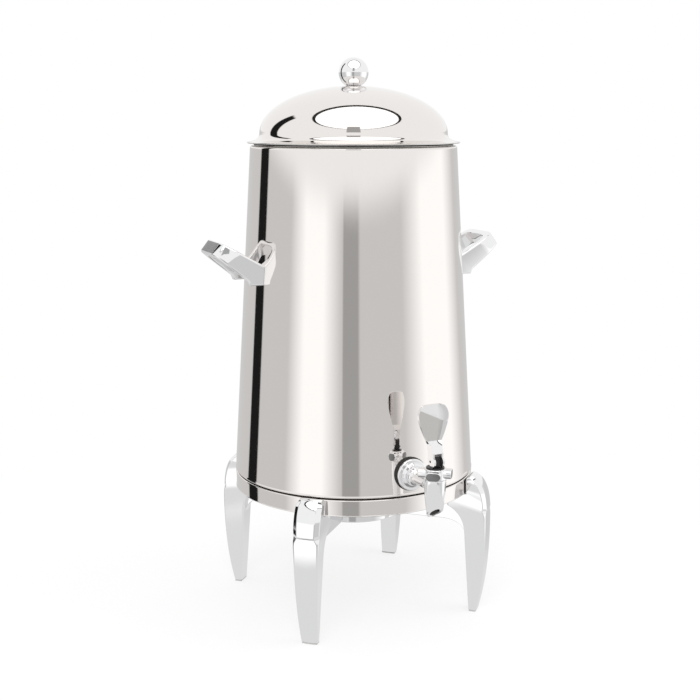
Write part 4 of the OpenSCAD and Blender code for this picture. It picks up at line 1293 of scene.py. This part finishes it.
class URN_OT_stage(UrnOperator):
    """Sets the floor, the studio walls, the light and the camera"""
    bl_idname = "urn.stage"
    bl_label = "Stage"

    def make(self):
        stage = sizes("urn_stage")
        self.camera(stage)
        self.floor()
        self.walls(stage)
        self.cards(stage)
        self.lamps()
        self.world()

    def camera(self, stage):
        """Camera on a level circle round the urn, looking a little down."""
        data = bpy.data.cameras.new("camera")
        data.lens = stage.lens
        data.sensor_width = 36
        data.shift_x = stage.shift
        data.clip_end = 40
        camera = placed("camera", data)
        turn = math.radians(stage.turn)
        away = stage.distance * MM
        camera.location = (away * math.sin(turn), -away * math.cos(turn), stage.height * MM)
        camera.rotation_euler = (math.radians(90 - stage.pitch), 0, turn)
        bpy.context.scene.camera = camera

    def floor(self):
        """Round pale table top that fades into the white behind it."""
        rim = [spot(1000, a, 0) for a in circle(96)]
        floor = plain_mesh("floor", rim, [tuple(range(len(rim)))])
        tree = self.blank("pale_floor", floor)
        diffuse = add(tree, "ShaderNodeBsdfDiffuse", {"Color": hex_colour("fafafa")})
        white = add(tree, "ShaderNodeEmission", {"Color": self.grey(1), "Strength": 1.0})
        place = add(tree, "ShaderNodeTexCoord").outputs["Object"]
        away = add(tree, "ShaderNodeVectorMath", {0: place}, operation="LENGTH").outputs["Value"]
        fade = add(tree, "ShaderNodeMapRange", {
            "Value": away, "From Min": 0.25, "From Max": 0.8, "To Min": 0.72, "To Max": 1.0})
        whiteness = add(tree, "ShaderNodeMath", {0: self.seen_rays(tree), 1: fade.outputs["Result"]},
                        operation="MULTIPLY")
        mixed = add(tree, "ShaderNodeMixShader", {
            0: whiteness.outputs[0], 1: diffuse.outputs[0], 2: white.outputs[0]})
        add(tree, "ShaderNodeOutputMaterial", {"Surface": mixed.outputs[0]})
        floor.visible_glossy = False

    def blank(self, name, thing):
        """Empty node tree of a new material on a stage piece."""
        material = bpy.data.materials.new(name)
        material.use_nodes = True
        material.node_tree.nodes.clear()
        thing.data.materials.append(material)
        return material.node_tree

    def mirrored_only(self, thing):
        """Leaves a stage piece to the polished surfaces alone."""
        for kind in ("camera", "diffuse", "shadow", "transmission"):
            setattr(thing, "visible_" + kind, False)

    def seen_rays(self, tree):
        """1 for rays from the camera, or mirrored or passed on by the object, and 0 for the rest."""
        path = add(tree, "ShaderNodeLightPath").outputs
        seen = path["Is Camera Ray"]
        for ray in ("Is Glossy Ray", "Is Transmission Ray"):
            seen = add(tree, "ShaderNodeMath", {0: seen, 1: path[ray]}, operation="MAXIMUM").outputs[0]
        return seen

    def walls(self, stage):
        """Studio walls with their cards, which only the polished surfaces mirror."""
        reach, middle = 12000.0, 400.0
        rings = [[spot(reach * math.cos(up), a, middle + reach * math.sin(up)) for a in circle(128)]
                 for up in sweep(-89, 89, 36)]
        studio = plain_mesh("studio_walls", *skin(rings))
        tree = self.blank("studio_cards", studio)
        place = add(tree, "ShaderNodeTexCoord").outputs["Object"]
        lifted = add(tree, "ShaderNodeVectorMath", {0: place, 1: (0, 0, -middle * MM)}, operation="ADD")
        away = add(tree, "ShaderNodeVectorMath", {0: lifted.outputs[0]}, operation="NORMALIZE")
        turned = add(tree, "ShaderNodeVectorRotate", {
            "Vector": away.outputs[0], "Angle": math.radians(90 - stage.turn)}, rotation_type="Z_AXIS")
        apart = add(tree, "ShaderNodeSeparateXYZ", {0: turned.outputs[0]}).outputs
        round_of = add(tree, "ShaderNodeMath", {0: apart["Y"], 1: apart["X"]}, operation="ARCTAN2")
        part = add(tree, "ShaderNodeMapRange", {
            "Value": round_of.outputs[0], "From Min": -math.pi, "From Max": math.pi}).outputs["Result"]
        wall, ceiling = (self.carded(tree, part, cards, grey)
                         for cards, grey in ((CARDS, WALL_GREY), (CARDS[:1], CEILING_GREY)))
        roof = self.passing(tree, apart["Z"], FLAG_TOP_EDGE, ceiling, self.grey(CEILING_GREY))
        colour = self.passing(tree, apart["Z"], CEILING_EDGE, wall, roof)
        for edge, tone in ((FLOOR_EDGE, FLOOR_GREY), (UNDER_EDGE, UNDER_GREY)):
            colour = self.passing(tree, apart["Z"], edge, colour, self.grey(tone))
        light = add(tree, "ShaderNodeEmission", {"Color": colour, "Strength": WALL_STRENGTH})
        add(tree, "ShaderNodeOutputMaterial", {"Surface": light.outputs[0]})
        self.mirrored_only(studio)

    def passing(self, tree, height, edge, start, end):
        """Colour that passes softly from one to another between the two heights of an edge."""
        part = add(tree, "ShaderNodeMapRange", {"Value": height, "From Min": edge[0], "From Max": edge[1]},
                   interpolation_type="SMOOTHSTEP").outputs["Result"]
        return add(tree, "ShaderNodeMix", {0: part, 6: start, 7: end}, data_type="RGBA").outputs[2]

    def grey(self, brightness):
        """Neutral colour of a brightness."""
        return (brightness,) * 3 + (1.0,)

    def carded(self, tree, part, cards, wall):
        """Grey of a wall round the studio, with its cards."""
        node = add(tree, "ShaderNodeValToRGB", {"Fac": part})
        stops = [(-180, wall)]
        for start, end, soft, tone in cards:
            stops += [(start - soft, wall), (start, tone), (end, tone), (end + soft, wall)]
        elements = node.color_ramp.elements
        while len(elements) < len(stops):
            elements.new(0.5)
        for element, (degrees, tone) in zip(elements, stops):
            element.position = (degrees + 180) / 360
            element.color = self.grey(tone)
        return node.outputs["Color"]

    def cards(self, stage):
        """The round softbox over the lid with its dark frame, and the grey card above the camera."""
        turn = turned_by(stage.turn)
        height = 1600.0
        half_w, half_d, side, front = (share_of * height for share_of in (0.95, 1.15, 0.1, 0.9))
        for name, lift, code, strength, grow in (
                ("softbox_frame", 12, "2a2a2a", 1.0, 1.08), ("softbox", 0, "ffffff", 1.4, 1.0)):
            rim = [(grow * half_w * math.cos(a) + side, -(grow * half_d * math.sin(a) + front),
                    APEX_Z + height + lift) for a in circle(64)]
            self.glow(moved(plain_mesh(name, rim, [tuple(range(len(rim)))]), turn), code, strength)
        corners = [(x, -1400, z) for x, z in ((-200, 900), (200, 900), (200, 1600), (-200, 1600))]
        self.glow(moved(plain_mesh("camera_card", corners, [(0, 1, 2, 3)]), turn), "aaaaaa", 1.0)

    def glow(self, card, code, strength):
        """Even glow of a card that only the polished surfaces mirror."""
        tree = self.blank(card.name, card)
        light = add(tree, "ShaderNodeEmission", {"Color": hex_colour(code), "Strength": strength})
        add(tree, "ShaderNodeOutputMaterial", {"Surface": light.outputs[0]})
        self.mirrored_only(card)

    def lamps(self):
        """Two broad soft lamps above and in front of the urn."""
        for name, (place, width, power) in LAMPS.items():
            data = bpy.data.lights.new(name, "AREA")
            data.shape = "SQUARE"
            data.size = width
            data.energy = power
            lamp = placed(name, data)
            lamp.location = place
            lamp.rotation_euler = (Vector((0, 0, 0.35)) - Vector(place)).to_track_quat("-Z", "Y").to_euler()
            lamp.visible_glossy = False
            lamp.visible_camera = False

    def world(self):
        """Even white light all round, and white behind the urn."""
        world = bpy.data.worlds.new("studio_air")
        bpy.context.scene.world = world
        world.use_nodes = True
        tree = world.node_tree
        tree.nodes.clear()
        even, white = (
            add(tree, "ShaderNodeBackground", {"Color": self.grey(1), "Strength": strength}).outputs[0]
            for strength in (sizes("urn_stage").world, 1.0))
        mixed = add(tree, "ShaderNodeMixShader", {0: self.seen_rays(tree), 1: even, 2: white})
        add(tree, "ShaderNodeOutputWorld", {"Surface": mixed.outputs[0]})
        bpy.context.scene.view_settings.view_transform = "Standard"


class URN_PT_sidebar(bpy.types.Panel):
    """Lists the urn's pieces and their sizes"""
    bl_idname = "URN_PT_sidebar"
    bl_label = "Coffee Urn"
    bl_space_type = "VIEW_3D"
    bl_region_type = "UI"
    bl_category = "Urn"

    def draw(self, context):
        for operator in OPERATORS:
            self.layout.operator(operator.bl_idname)
        for name in GROUPS:
            box = self.layout.box()
            group = getattr(context.scene, name)
            for prop in group.bl_rna.properties:
                if prop.identifier not in {"rna_type", "name"}:
                    box.prop(group, prop.identifier)


OPERATORS = (
    URN_OT_stage, URN_OT_body, URN_OT_base, URN_OT_lid, URN_OT_handles, URN_OT_stand, URN_OT_outlet,
    URN_OT_faucet, URN_OT_spring, URN_OT_lever, URN_OT_fasteners, URN_OT_kept,
)
CLASSES = (*GROUPS.values(), *OPERATORS, URN_PT_sidebar)


def register():
    """Adds the classes and the scene's properties."""
    for cls in CLASSES:
        bpy.utils.register_class(cls)
    for name, group in GROUPS.items():
        setattr(bpy.types.Scene, name, PointerProperty(type=group))


def unregister():
    """Takes the scene's properties and the classes away."""
    for name in GROUPS:
        delattr(bpy.types.Scene, name)
    for cls in reversed(CLASSES):
        bpy.utils.unregister_class(cls)


def main():
    """Makes the whole urn."""
    register()
    for operator in OPERATORS:
        category, action = operator.bl_idname.split(".")
        getattr(getattr(bpy.ops, category), action)()
    bpy.context.view_layer.update()


if __name__ == "__main__":
    main()
